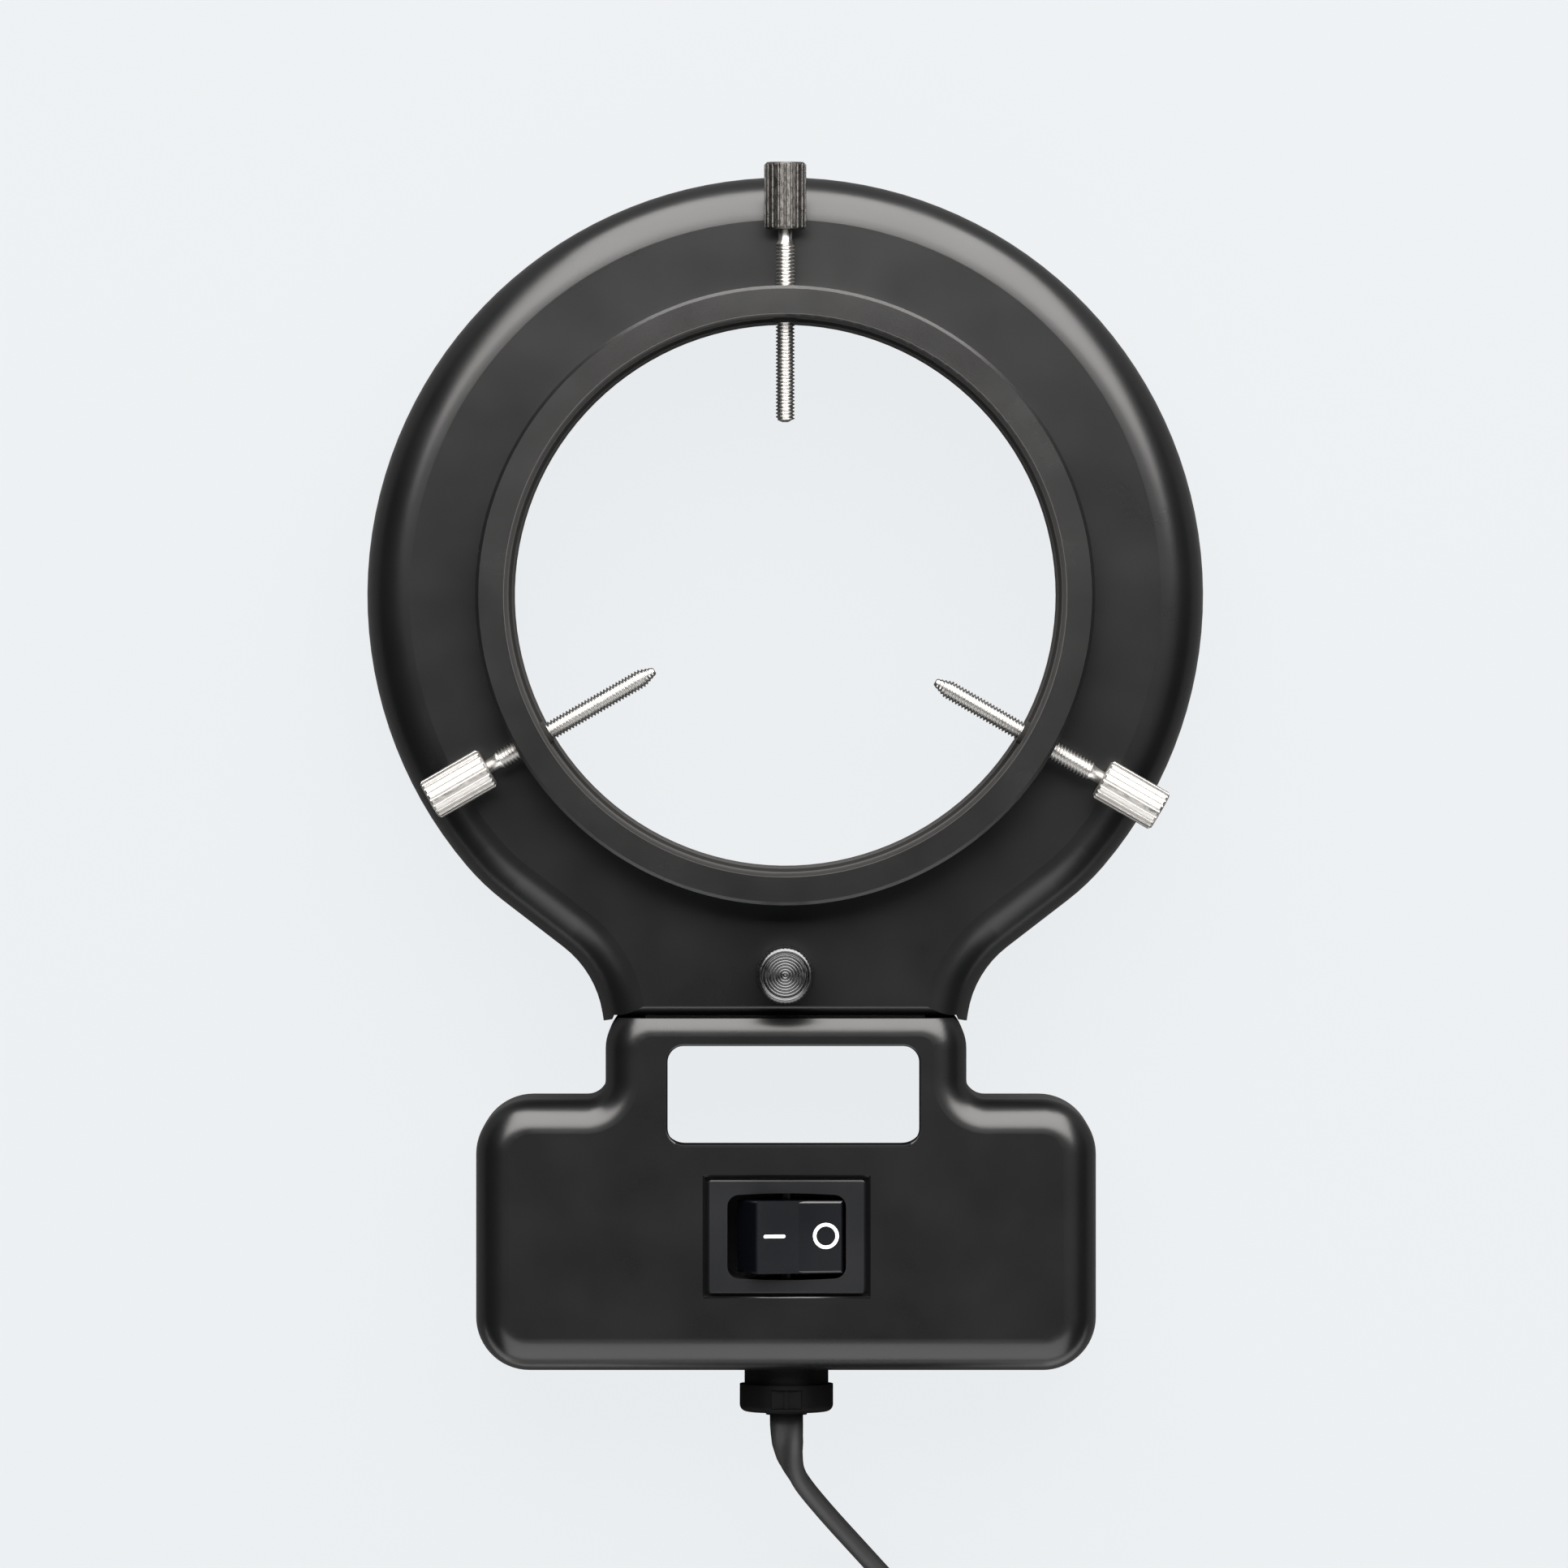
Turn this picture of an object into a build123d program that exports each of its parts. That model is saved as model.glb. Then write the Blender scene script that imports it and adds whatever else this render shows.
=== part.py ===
"""Fluorescent ring light for a stereo microscope.

A C shaped fluorescent lamp lies in a trough under a ring shell. A mounting collar with three
clamp screws stands on the shell, and a neck carries the ballast box with its rocker switch,
strain relief and supply cord.

Millimetres. The origin is on the ring's axis at the level of the underside. +Z points up out of
the collar, and +Y points from the ballast box towards the ring.
"""
from build123d import *
from math import cos, dist, hypot, pi, radians, sin, tan
import os

os.makedirs("parts", exist_ok=True)

# Clearances and overruns, shared by every piece
SEAT_GAP = 0.05
SLIP_GAP = 0.15
FREE_GAP = 0.3
OVERRUN = 5.0

# Ring shell
ring_radius = 52.7
ring_height = 20.0
ring_wall = 2.0
ring_top = 2.0
ring_edge_radius = 5.5
ring_inner_fillet = 3.5
trough_inner_radius = 37.3
inner_wall_floor = 2.0

# Neck of the ring shell, which widens out of the ring and hoods the ballast box
neck_leave_angle = 44.5
neck_slope_angle = 37.6
neck_lean_angle = 9.0
neck_blend_share = 1.73
neck_arc_share = 0.75
neck_tip_half = 22.9
neck_tip_y = -53.6
neck_end_y = -52.8
neck_tip_width = 1.15
neck_tip_rise = 0.25
neck_mouth_step = 0.15
hood_edge_radius = 1.2

# Mounting collar, a flanged sleeve through the ring
bore_radius = 34.4
bore_length = 18.6
clamp_zone_radius = 34.8
sleeve_radius = 35.9
collar_radius = 38.8
collar_height = 7.3
collar_edge = 0.4
collar_lip_radius = 0.45
clip_groove_floor = 1.0
clip_thickness = 1.0
clip_groove_depth = 0.7
clip_radius = 37.0
clip_opening_angle = 16.0
boss_radius = 1.5
boss_standoff = 0.6

# Clamp screws, at their photographed depths
clamp_angles = [90.0, 210.0, 330.0]
clamp_tip_radii = [21.7, 18.9, 21.7]
clamp_screw_z = 23.8
clamp_screw_length = 32.6
clamp_shank_radius = 1.2
clamp_thread_gap = 0.05
clamp_neck_radius = 0.85
clamp_neck_length = 1.3
clamp_neck_cone = 0.5
clamp_tip_chamfer = 0.35
clamp_head_radius = 2.65
clamp_head_length = 8.4
clamp_head_chamfer = 0.35
clamp_head_socket = 6.5
clamp_flutes = 20
clamp_flute_radius = 0.2

# Neck thumbscrew, which holds the neck cover
thumb_x = 0.0
thumb_y = -47.6
thumb_shank_radius = 1.45
thumb_thread_gap = 0.05
thumb_tip_z = 5.2
thumb_head_radius = 3.6
thumb_head_length = 6.6
thumb_head_z = 20.9
thumb_head_chamfer = 0.6
thumb_flutes = 24
thumb_flute_radius = 0.22
thumb_dish_radius = 2.6
thumb_dish_depth = 0.15
thumb_boss_radius = 3.0
thumb_boss_floor = 12.0

# Lamp
lamp_circle_radius = (trough_inner_radius + ring_radius - ring_wall) / 2
lamp_radius = 5.6
lamp_z = 9.2
lamp_gap_half_angle = 16.0
lamp_end_angle = 1.1
cap_radius = 5.9
cap_angle = 6.5
base_inner_y = -39.6
base_outer_y = -43.4
base_half_width = 10.6
base_height = 6.0
pin_radius = 0.7
pin_length = 4.6
pin_spacing = 4.4
pin_count = 4

# Reflector, lamp clips and lamp socket
sheet = 0.4
reflector_top = 17.9
reflector_rim = 2.6
reflector_gap_half_angle = 24.5
reflector_inner_corner = 1.5
reflector_outer_corner = 4.0
lamp_clip_angles = [20.0, 90.0, 160.0]
lamp_clip_width = 6.0
lamp_clip_wrap_angle = 232.0
lamp_clip_stem = 3.0
socket_half_width = 8.6
socket_floor = 11.9
socket_hole_gap = 0.1
socket_hole_depth = 5.2

# Neck cover
cover_floor = 0.4
cover_sheet = 2.0
cover_half_angle = 29.0
cover_inner_radius = 38.0
insert_radius = 2.2
insert_floor = 5.6

# Ballast box
box_centre_x = 0.1
box_height = 22.0
box_wall = 2.0
box_top_y = -51.2
handle_face_y = -53.15
shoulder_y = -63.4
box_bottom_y = -97.5
handle_half = 22.7
body_half = 39.0
handle_corner = 5.8
handle_root = 2.5
shoulder_corner_share = 0.4233
shoulder_corner = shoulder_corner_share * (body_half - handle_half)
bottom_corner = 6.7
box_edge_radius = 4.2
box_inner_fillet = 2.2
window_left_arm = 7.85
window_right_arm = 6.0
window_left = box_centre_x - handle_half + window_left_arm
window_right = box_centre_x + handle_half - window_right_arm
window_top_y = -56.6
window_low_y = -68.9
window_corner = 2.0
window_lip = 0.3
window_draft = 2.0
lead_hole_radius = 1.8

# Tongue of the ballast box, under the hood of the neck
tongue_floor = 14.8
tongue_sheet = 3.15
tongue_half = 14.0
tongue_root_half = 17.6
tongue_root_y = -50.6
tongue_tip_y = -47.2
tongue_notch = 0.4
tongue_screw_x = 11.0
tongue_screw_y = -49.6
tongue_boss_radius = 2.4
tongue_pilot_radius = 0.9
tongue_screw_head = 3.3
tongue_screw_head_height = 1.8
tongue_screw_reach = 2.8

# Box cover and its screws
case_screw_x = 32.8
case_screw_high_y = -68.6
case_screw_low_y = -91.8
case_boss_radius = 2.8
case_pilot_radius = 1.0
case_pilot_depth = 11.0
case_screw_radius = 0.95
case_screw_length = 10.0
case_head_radius = 2.4
head_taper = 45.0

# Rocker switch
switch_x = 0.18
switch_y = -80.5
bezel_length = 19.8
bezel_width = 14.2
bezel_proud = 0.2
bezel_thickness = 1.7
bezel_corner = 0.5
bezel_recess_gap = 0.35
bezel_recess_edge = 0.3
well_length = 14.9
well_width = 10.3
well_bulge = 0.3
well_corner = 1.5
switch_body_length = 18.4
switch_body_width = 12.6
switch_body_depth = 11.0
well_depth = 10.3
ledge_width = 1.6
ledge_height = 1.4
rocker_pivot_depth = 5.8
rocker_tilt = 12.0
rocker_width = 9.1
rocker_top_half = 5.55
rocker_top_height = 7.7
rocker_dip = 0.5
rocker_foot_half = 6.8
rocker_foot_height = 2.4
rocker_keel_half = 3.0
rocker_keel_depth = 2.6
rocker_edge = 0.35
rocker_pin_radius = 1.0
rocker_pin_length = 1.5
rocker_pin_gap = 0.05
terminal_spacing = 5.0
terminal_width = 4.0
terminal_thickness = 0.8

# Ballast circuit
board_half = 29.4
board_high_y = -72.2
board_low_y = -94.2
board_floor = 3.2
board_sheet = 1.2
board_post_radius = 1.6
board_post_x = 27.5
board_post_y = [-75.0, -91.4]
board_screw_radius = 0.8
board_screw_head = 1.5
board_screw_head_height = 0.9
choke_x = 19.0
choke_y = -80.0
choke_length = 13.0
choke_width = 11.0
choke_height = 11.5
bobbin_length = 9.4
bobbin_width = 13.6
bobbin_height = 4.8
capacitor_x = -18.0
capacitor_y = -84.6
capacitor_radius = 5.0
capacitor_headroom = 3.1
film_x = [13.0, 21.2]
film_y = -90.6
film_length = 7.2
film_width = 3.8
film_height = 8.0
transistor_x = [-25.6, -25.6]
transistor_y = [-81.4, -87.2]
transistor_length = 4.6
transistor_width = 3.4
transistor_height = 5.0
diode_x = -10.6
diode_count = 4
diode_pitch = 2.6
diode_y = -78.4
diode_radius = 0.8
diode_length = 3.8
plug_block_x = -18.6
plug_block_y = -75.2
plug_block_length = 6.4
plug_block_width = 4.2
plug_block_height = 5.0

# Strain relief
gland_x = 0.15
gland_z = 11.0
gland_barrel_radius = 5.0
gland_neck_radius = 5.3
gland_neck_length = 2.1
gland_flange_radius = 5.9
gland_flange_length = 3.5
gland_flange_corner = 0.9
gland_lip_radius = 2.6
gland_lip_length = 0.4
gland_barb_radius = 5.5
gland_barb_length = 1.4
wedge_width = 3.8
wedge_length = 2.3
wedge_depth = 2.6
wedge_inset = 0.5

# Supply cord, from the strain relief to the coil
cord_radius = 1.4
cord_sides = 8
cord_route = [
    (0.15, -103.5, 11.0),
    (0.15, -107.8, 11.0),
    (1.35, -111.4, 10.2),
    (5.0, -116.0, 8.0),
    (9.6, -121.2, 5.4),
    (14.4, -126.6, 3.0),
    (19.3, -131.3, 1.4),
    (24.0, -136.0, 1.4),
]

# Coil of the rest of the cord in two layers, and the plug beside it
coil_seam_angle = 45.0
coil_outer_radius = 30.5
coil_pitch = 4.0
coil_rise = 4.4
coil_half_turns = 11
coil_samples = 60
plug_relief_length = 11.0
plug_relief_radius = 2.0
plug_flare_half = 3.4
plug_flare_length = 9.0
plug_grip_length = 12.0
plug_half_width = 9.0
plug_corner = 1.2
blade_spacing = 12.7
blade_width = 6.3
blade_thickness = 1.5
blade_length = 16.0

# Leads inside the box
lamp_lead_radius = 1.0
lamp_lead_route = [
    (-18.6, -73.1, 7.0),
    (-18.6, -67.6, 7.0),
    (-18.6, -60.6, 9.2),
    (-18.6, -52.6, 9.2),
    (-14.6, -50.4, 9.2),
    (-9.6, -48.8, 9.6),
    (-6.0, -46.9, 12.9),
    (-6.0, -43.4, 12.9),
]
mains_lead_radius = 0.7
mains_lead_offset = 1.2
mains_lead_route = [
    (-94.1, 11.0),
    (-92.0, 11.0),
    (-90.2, 9.4),
    (-89.6, 7.0),
    (-89.6, 4.4),
]


def save(builder, name):
    """Give a finished piece its name and write it."""
    builder.part.label = name
    export_step(builder.part, f"parts/{name}.step")
    solids = builder.part.solids()
    print(f"{name}: {len(solids)} solid(s), {builder.part.volume:.1f} mm3")


def at(shapes, x, y, reach=SEAT_GAP):
    """The vertices or edges whose centre stands over one of the given places."""
    return [s for s in shapes if hypot(s.center().X - x, s.center().Y - y) < reach]


def radial_plane(angle, height=0):
    """A plane through the ring's axis: local X points outward, local Y points up."""
    outward = (cos(radians(angle)), sin(radians(angle)), 0)
    return Plane(origin=(0, 0, height), x_dir=outward, z_dir=(outward[1], -outward[0], 0))


def inward_plane(angle, radius):
    """A plane square to a clamp screw, at a radius, whose normal points at the ring's axis."""
    outward = (cos(radians(angle)), sin(radians(angle)), 0)
    origin = (radius * outward[0], radius * outward[1], clamp_screw_z)
    return Plane(origin=origin, x_dir=(0, 0, 1), z_dir=(-outward[0], -outward[1], 0))


def arc_radii(points):
    """The largest smooth arc at each corner of a route, and its turn in degrees."""
    runs = [Vector(*b) - Vector(*a) for a, b in zip(points, points[1:])]
    radii, turns = [], []
    for before, after in zip(runs, runs[1:]):
        turn = before.get_angle(after)
        radii.append(0.45 * min(before.length, after.length) / tan(radians(turn) / 2))
        turns.append(turn)
    return radii, turns


# Outline of the ring shell and its neck
leave = (
    ring_radius * cos(radians(neck_leave_angle)),
    -ring_radius * sin(radians(neck_leave_angle)),
)
slope = (-cos(radians(neck_slope_angle)), -sin(radians(neck_slope_angle)))
lean = (sin(radians(neck_lean_angle)), cos(radians(neck_lean_angle)))
cross = slope[0] * lean[1] - slope[1] * lean[0]
side_run = (
    (neck_tip_half - leave[0]) * lean[1] - (neck_tip_y - leave[1]) * lean[0]
) / cross
waist = (leave[0] + side_run * slope[0], leave[1] + side_run * slope[1])
neck_blend_radius = neck_blend_share * side_run
neck_arc_radius = neck_arc_share * side_run

far = (waist[0] - 2 * OVERRUN * lean[0], waist[1] - 2 * OVERRUN * lean[1])

with BuildSketch() as long_outline:
    with BuildLine():
        CenterArc((0, 0), ring_radius, -neck_leave_angle, 180 + 2 * neck_leave_angle)
        Polyline(
            leave,
            waist,
            far,
            (-far[0], far[1]),
            (-waist[0], waist[1]),
            (-leave[0], leave[1]),
        )
    make_face()
    fillet(at(long_outline.vertices(), *leave), neck_blend_radius)
    fillet(at(long_outline.vertices(), -leave[0], leave[1]), neck_blend_radius)
    fillet(at(long_outline.vertices(), *waist), neck_arc_radius)
    fillet(at(long_outline.vertices(), -waist[0], waist[1]), neck_arc_radius)

tip_inner = neck_tip_half - neck_tip_width
mouth_half = tip_inner - neck_mouth_step
with BuildSketch() as ring_outline:
    add(long_outline.sketch)
    with BuildLine():
        Polyline(
            (ring_radius, neck_tip_y),
            (neck_tip_half, neck_tip_y),
            (tip_inner, neck_tip_y + neck_tip_rise),
            (mouth_half, neck_end_y),
            (-mouth_half, neck_end_y),
            (-tip_inner, neck_tip_y + neck_tip_rise),
            (-neck_tip_half, neck_tip_y),
            (-ring_radius, neck_tip_y),
            (-ring_radius, far[1] - OVERRUN),
            (ring_radius, far[1] - OVERRUN),
            close=True,
        )
    make_face(mode=Mode.SUBTRACT)

tongue_screw_places = [(-tongue_screw_x, tongue_screw_y), (tongue_screw_x, tongue_screw_y)]
tongue_boss_floor = tongue_floor + SEAT_GAP

# Hollow of the ring shell: the lamp trough, open at the mouth of the neck
trough_height = ring_height - ring_top
with BuildPart() as ring_hollow:
    with BuildSketch():
        offset(long_outline.sketch, amount=-ring_wall)
    extrude(amount=trough_height)
    rim = ring_hollow.edges().group_by(Axis.Z)[-1]
    fillet([e for e in rim if e.center().Y > far[1] + OVERRUN / 2], ring_inner_fillet)
    with BuildSketch(Plane.XY.offset(-OVERRUN)):
        Circle(trough_inner_radius)
    extrude(amount=ring_height + 2 * OVERRUN, mode=Mode.SUBTRACT)

with BuildPart() as ring_housing:
    add(ring_outline.sketch)
    extrude(amount=ring_height)
    rim = ring_housing.edges().group_by(Axis.Z)[-1]
    fillet([e for e in rim if e.center().Y > neck_end_y + SEAT_GAP], ring_edge_radius)
    with BuildSketch(Plane.YZ):
        with Locations((neck_end_y, ring_height)):
            Rectangle(2 * hood_edge_radius, 2 * hood_edge_radius)
        with Locations((neck_end_y + hood_edge_radius, ring_height - hood_edge_radius)):
            Circle(hood_edge_radius, mode=Mode.SUBTRACT)
    extrude(amount=mouth_half, both=True, mode=Mode.SUBTRACT)
    add(ring_hollow.part, mode=Mode.SUBTRACT)
    with BuildSketch(Plane.XY.offset(-OVERRUN)):
        Circle(sleeve_radius + SEAT_GAP)
    extrude(amount=ring_height + 2 * OVERRUN, mode=Mode.SUBTRACT)
    with BuildSketch():
        Circle(trough_inner_radius + SEAT_GAP)
    extrude(amount=inner_wall_floor, mode=Mode.SUBTRACT)
    with BuildSketch(Plane.XY.offset(thumb_boss_floor)):
        with Locations((thumb_x, thumb_y)):
            Circle(thumb_boss_radius)
    extrude(amount=trough_height - thumb_boss_floor)
    with BuildSketch(Plane.XY.offset(tongue_boss_floor)):
        with Locations(*tongue_screw_places):
            Circle(tongue_boss_radius)
    extrude(amount=trough_height - tongue_boss_floor)
    with BuildSketch(Plane.XY.offset(thumb_boss_floor)):
        with Locations((thumb_x, thumb_y)):
            Circle(thumb_shank_radius + thumb_thread_gap)
    extrude(amount=ring_height, mode=Mode.SUBTRACT)
    with BuildSketch(Plane.XY.offset(tongue_boss_floor)):
        with Locations(*tongue_screw_places):
            Circle(tongue_pilot_radius)
    extrude(amount=tongue_screw_reach + FREE_GAP, mode=Mode.SUBTRACT)
save(ring_housing, "ring_housing")

# Mounting collar with a retaining clip under the shell's inner wall
collar_top = ring_height + collar_height
with BuildPart() as mounting_collar:
    with BuildSketch(Plane.XZ) as collar_section:
        with BuildLine():
            Polyline(
                (bore_radius, 0),
                (sleeve_radius, 0),
                (sleeve_radius, clip_groove_floor),
                (sleeve_radius - clip_groove_depth, clip_groove_floor),
                (sleeve_radius - clip_groove_depth, clip_groove_floor + clip_thickness),
                (sleeve_radius, clip_groove_floor + clip_thickness),
                (sleeve_radius, ring_height),
                (collar_radius, ring_height),
                (collar_radius, collar_top),
                (clamp_zone_radius, collar_top),
                (clamp_zone_radius, bore_length),
                (bore_radius, bore_length),
                close=True,
            )
        make_face()
        fillet(at(collar_section.vertices(), clamp_zone_radius, collar_top), collar_lip_radius)
        chamfer(at(collar_section.vertices(), collar_radius, collar_top), collar_edge)
    revolve(axis=Axis.Z)
    for angle in clamp_angles:
        with BuildSketch(inward_plane(angle, collar_radius - collar_edge)):
            Circle(boss_radius)
        extrude(amount=collar_radius - collar_edge - clamp_zone_radius + boss_standoff)
        with BuildSketch(inward_plane(angle, collar_radius + OVERRUN)):
            Circle(clamp_shank_radius + clamp_thread_gap)
        extrude(amount=collar_radius, mode=Mode.SUBTRACT)
save(mounting_collar, "mounting_collar")

with BuildPart() as collar_clip:
    with BuildSketch(Plane.XY.offset(clip_groove_floor)):
        Circle(clip_radius)
        Circle(sleeve_radius - clip_groove_depth + SEAT_GAP, mode=Mode.SUBTRACT)
        with BuildLine():
            Polyline(
                (0, 0),
                (2 * clip_radius * cos(radians(clip_opening_angle)),
                 2 * clip_radius * sin(radians(clip_opening_angle))),
                (2 * clip_radius * cos(radians(clip_opening_angle)),
                 -2 * clip_radius * sin(radians(clip_opening_angle))),
                close=True,
            )
        make_face(mode=Mode.SUBTRACT)
    extrude(amount=clip_thickness)
save(collar_clip, "collar_clip")


def clamp_shank(angle, tip_radius):
    """A clamp screw's threaded shank, with its undercut neck inside the knurled head."""
    seat = tip_radius + clamp_screw_length - clamp_head_length
    axis = Axis((0, 0, clamp_screw_z), (cos(radians(angle)), sin(radians(angle)), 0))
    with BuildPart() as shank:
        with BuildSketch(radial_plane(angle, clamp_screw_z)):
            with BuildLine():
                Polyline(
                    (tip_radius, 0),
                    (tip_radius, clamp_shank_radius - clamp_tip_chamfer),
                    (tip_radius + clamp_tip_chamfer, clamp_shank_radius),
                    (seat - clamp_neck_length - clamp_neck_cone, clamp_shank_radius),
                    (seat - clamp_neck_length, clamp_neck_radius),
                    (seat + clamp_head_socket, clamp_neck_radius),
                    (seat + clamp_head_socket, 0),
                    close=True,
                )
            make_face()
        revolve(axis=axis)
    return shank


def clamp_head(angle, tip_radius):
    """A clamp screw's head with straight flutes, bored for the neck of its shank."""
    end = inward_plane(angle, tip_radius + clamp_screw_length)
    seat = inward_plane(angle, tip_radius + clamp_screw_length - clamp_head_length)
    with BuildPart() as head:
        with BuildSketch(end):
            Circle(clamp_head_radius)
        extrude(amount=clamp_head_length)
        chamfer(head.edges().filter_by(GeomType.CIRCLE), clamp_head_chamfer)
        with BuildSketch(end):
            with PolarLocations(clamp_head_radius, clamp_flutes):
                Circle(clamp_flute_radius)
        extrude(amount=clamp_head_length, mode=Mode.SUBTRACT)
        with BuildSketch(seat):
            Circle(clamp_neck_radius + clamp_thread_gap)
        extrude(amount=-clamp_head_socket - clamp_thread_gap, mode=Mode.SUBTRACT)
    return head


for number, (angle, tip_radius) in enumerate(zip(clamp_angles, clamp_tip_radii), 1):
    save(clamp_shank(angle, tip_radius), f"clamp_screw_{number}_shank")
    save(clamp_head(angle, tip_radius), f"clamp_screw_{number}_head")

# Neck thumbscrew
thumb_section = Plane(origin=(thumb_x, thumb_y, 0), x_dir=(1, 0, 0), z_dir=(0, -1, 0))
thumb_axis = Axis((thumb_x, thumb_y, 0), (0, 0, 1))
with BuildPart() as thumb_screw_shank:
    with BuildSketch(thumb_section):
        with BuildLine():
            Polyline(
                (0, thumb_tip_z),
                (thumb_shank_radius - clamp_tip_chamfer, thumb_tip_z),
                (thumb_shank_radius, thumb_tip_z + clamp_tip_chamfer),
                (thumb_shank_radius, thumb_head_z),
                (clamp_neck_radius, thumb_head_z),
                (clamp_neck_radius, thumb_head_z + thumb_head_length / 2),
                (0, thumb_head_z + thumb_head_length / 2),
                close=True,
            )
        make_face()
    revolve(axis=thumb_axis)
save(thumb_screw_shank, "thumb_screw_shank")

with BuildPart() as thumb_screw_head:
    with BuildSketch(Plane.XY.offset(thumb_head_z + clamp_thread_gap)):
        with Locations((thumb_x, thumb_y)):
            Circle(thumb_head_radius)
    extrude(amount=thumb_head_length)
    chamfer(thumb_screw_head.edges().group_by(Axis.Z)[-1], thumb_head_chamfer)
    chamfer(thumb_screw_head.edges().group_by(Axis.Z)[0], clamp_head_chamfer)
    with BuildSketch(Plane.XY.offset(thumb_head_z)):
        with Locations((thumb_x, thumb_y)):
            with PolarLocations(thumb_head_radius, thumb_flutes):
                Circle(thumb_flute_radius)
    extrude(amount=thumb_head_length + FREE_GAP, mode=Mode.SUBTRACT)
    with BuildSketch(Plane.XY.offset(thumb_head_z + clamp_thread_gap + thumb_head_length)):
        with Locations((thumb_x, thumb_y)):
            Circle(thumb_dish_radius)
    extrude(amount=-thumb_dish_depth, mode=Mode.SUBTRACT)
    with BuildSketch(Plane.XY.offset(thumb_head_z)):
        with Locations((thumb_x, thumb_y)):
            Circle(clamp_neck_radius + clamp_thread_gap)
    extrude(amount=thumb_head_length / 2 + clamp_thread_gap, mode=Mode.SUBTRACT)
save(thumb_screw_head, "thumb_screw_head")

# Lamp: a glass tube bent into an open ring, its end caps, and the base that bridges them
lamp_start = -90 + lamp_gap_half_angle + lamp_end_angle
lamp_sweep = 360 - 2 * lamp_gap_half_angle - 2 * lamp_end_angle
with BuildPart() as lamp_tube:
    with BuildSketch(radial_plane(lamp_start)):
        with Locations((lamp_circle_radius, lamp_z)):
            Circle(lamp_radius)
    revolve(axis=Axis.Z, revolution_arc=lamp_sweep)
save(lamp_tube, "lamp_tube")

with BuildPart() as lamp_end_caps:
    for start in (lamp_gap_half_angle - 90, 270 - lamp_gap_half_angle - cap_angle):
        with BuildSketch(radial_plane(start)):
            with Locations((lamp_circle_radius, lamp_z)):
                Circle(cap_radius)
        revolve(axis=Axis.Z, revolution_arc=cap_angle)
    with BuildSketch(radial_plane(lamp_start - lamp_end_angle / 2)):
        with Locations((lamp_circle_radius, lamp_z)):
            Circle(lamp_radius + SEAT_GAP)
    revolve(axis=Axis.Z, revolution_arc=lamp_sweep + lamp_end_angle, mode=Mode.SUBTRACT)
save(lamp_end_caps, "lamp_end_caps")

base_floor = socket_floor - SEAT_GAP - base_height
base_mid_y = (base_inner_y + base_outer_y) / 2
base_depth = base_inner_y - base_outer_y
with BuildPart() as lamp_base:
    with BuildSketch(Plane.XY.offset(base_floor)):
        with Locations((0, base_mid_y)):
            Rectangle(2 * cap_radius + 2 * base_half_width, base_depth)
        with BuildLine():
            Polyline(
                (0, 0),
                (ring_radius, -ring_radius / tan(radians(lamp_gap_half_angle))),
                (-ring_radius, -ring_radius / tan(radians(lamp_gap_half_angle))),
                close=True,
            )
        make_face(mode=Mode.INTERSECT)
    extrude(amount=base_height)
    fillet(lamp_base.edges().filter_by(Axis.X).group_by(Axis.Z)[0], sheet)
save(lamp_base, "lamp_base")

with BuildPart() as lamp_pins:
    with BuildSketch(Plane.XY.offset(base_floor + base_height)):
        with Locations((0, base_mid_y)):
            with GridLocations(pin_spacing, 0, pin_count, 1):
                Circle(pin_radius)
    extrude(amount=pin_length)
    fillet(lamp_pins.edges().group_by(Axis.Z)[-1], pin_radius / 2)
save(lamp_pins, "lamp_pins")

with BuildPart() as lamp_socket:
    with BuildSketch(Plane.XY.offset(socket_floor)):
        with Locations((0, base_mid_y)):
            Rectangle(2 * socket_half_width, base_depth)
    extrude(amount=trough_height - socket_floor)
    fillet(lamp_socket.edges().filter_by(Axis.Z), sheet)
    with BuildSketch(Plane.XY.offset(socket_floor)):
        with Locations((0, base_mid_y)):
            with GridLocations(pin_spacing, 0, pin_count, 1):
                Circle(pin_radius + socket_hole_gap)
    extrude(amount=socket_hole_depth, mode=Mode.SUBTRACT)
save(lamp_socket, "lamp_socket")

# White reflector round the lamp, an upturned trough of sheet
trough_outer_radius = ring_radius - ring_wall
with BuildPart() as reflector_room:
    with BuildSketch():
        offset(long_outline.sketch, amount=-ring_wall - SEAT_GAP)
    extrude(amount=trough_height - SEAT_GAP)
    rim = reflector_room.edges().group_by(Axis.Z)[-1]
    fillet([e for e in rim if e.center().Y > far[1] + OVERRUN / 2], ring_inner_fillet)

with BuildPart() as reflector:
    with BuildSketch(radial_plane(-90 + reflector_gap_half_angle)) as section:
        with BuildLine():
            Polyline(
                (trough_inner_radius + SEAT_GAP, reflector_rim - sheet),
                (trough_outer_radius - SEAT_GAP, reflector_rim - sheet),
                (trough_outer_radius - SEAT_GAP, reflector_top),
                (trough_inner_radius + SEAT_GAP, reflector_top),
                close=True,
            )
        make_face()
        fillet(section.vertices().group_by(Axis.Y)[-1].sort_by(Axis.X)[0], reflector_inner_corner)
        fillet(section.vertices().group_by(Axis.Y)[-1].sort_by(Axis.X)[-1], reflector_outer_corner)
        offset(amount=-sheet, kind=Kind.INTERSECTION, mode=Mode.SUBTRACT)
        with Locations((lamp_circle_radius, 0)):
            Rectangle(2 * trough_outer_radius, 2 * reflector_rim, mode=Mode.SUBTRACT)
    revolve(axis=Axis.Z, revolution_arc=360 - 2 * reflector_gap_half_angle)
    add(reflector_room.part, mode=Mode.INTERSECT)
save(reflector, "reflector")

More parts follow.
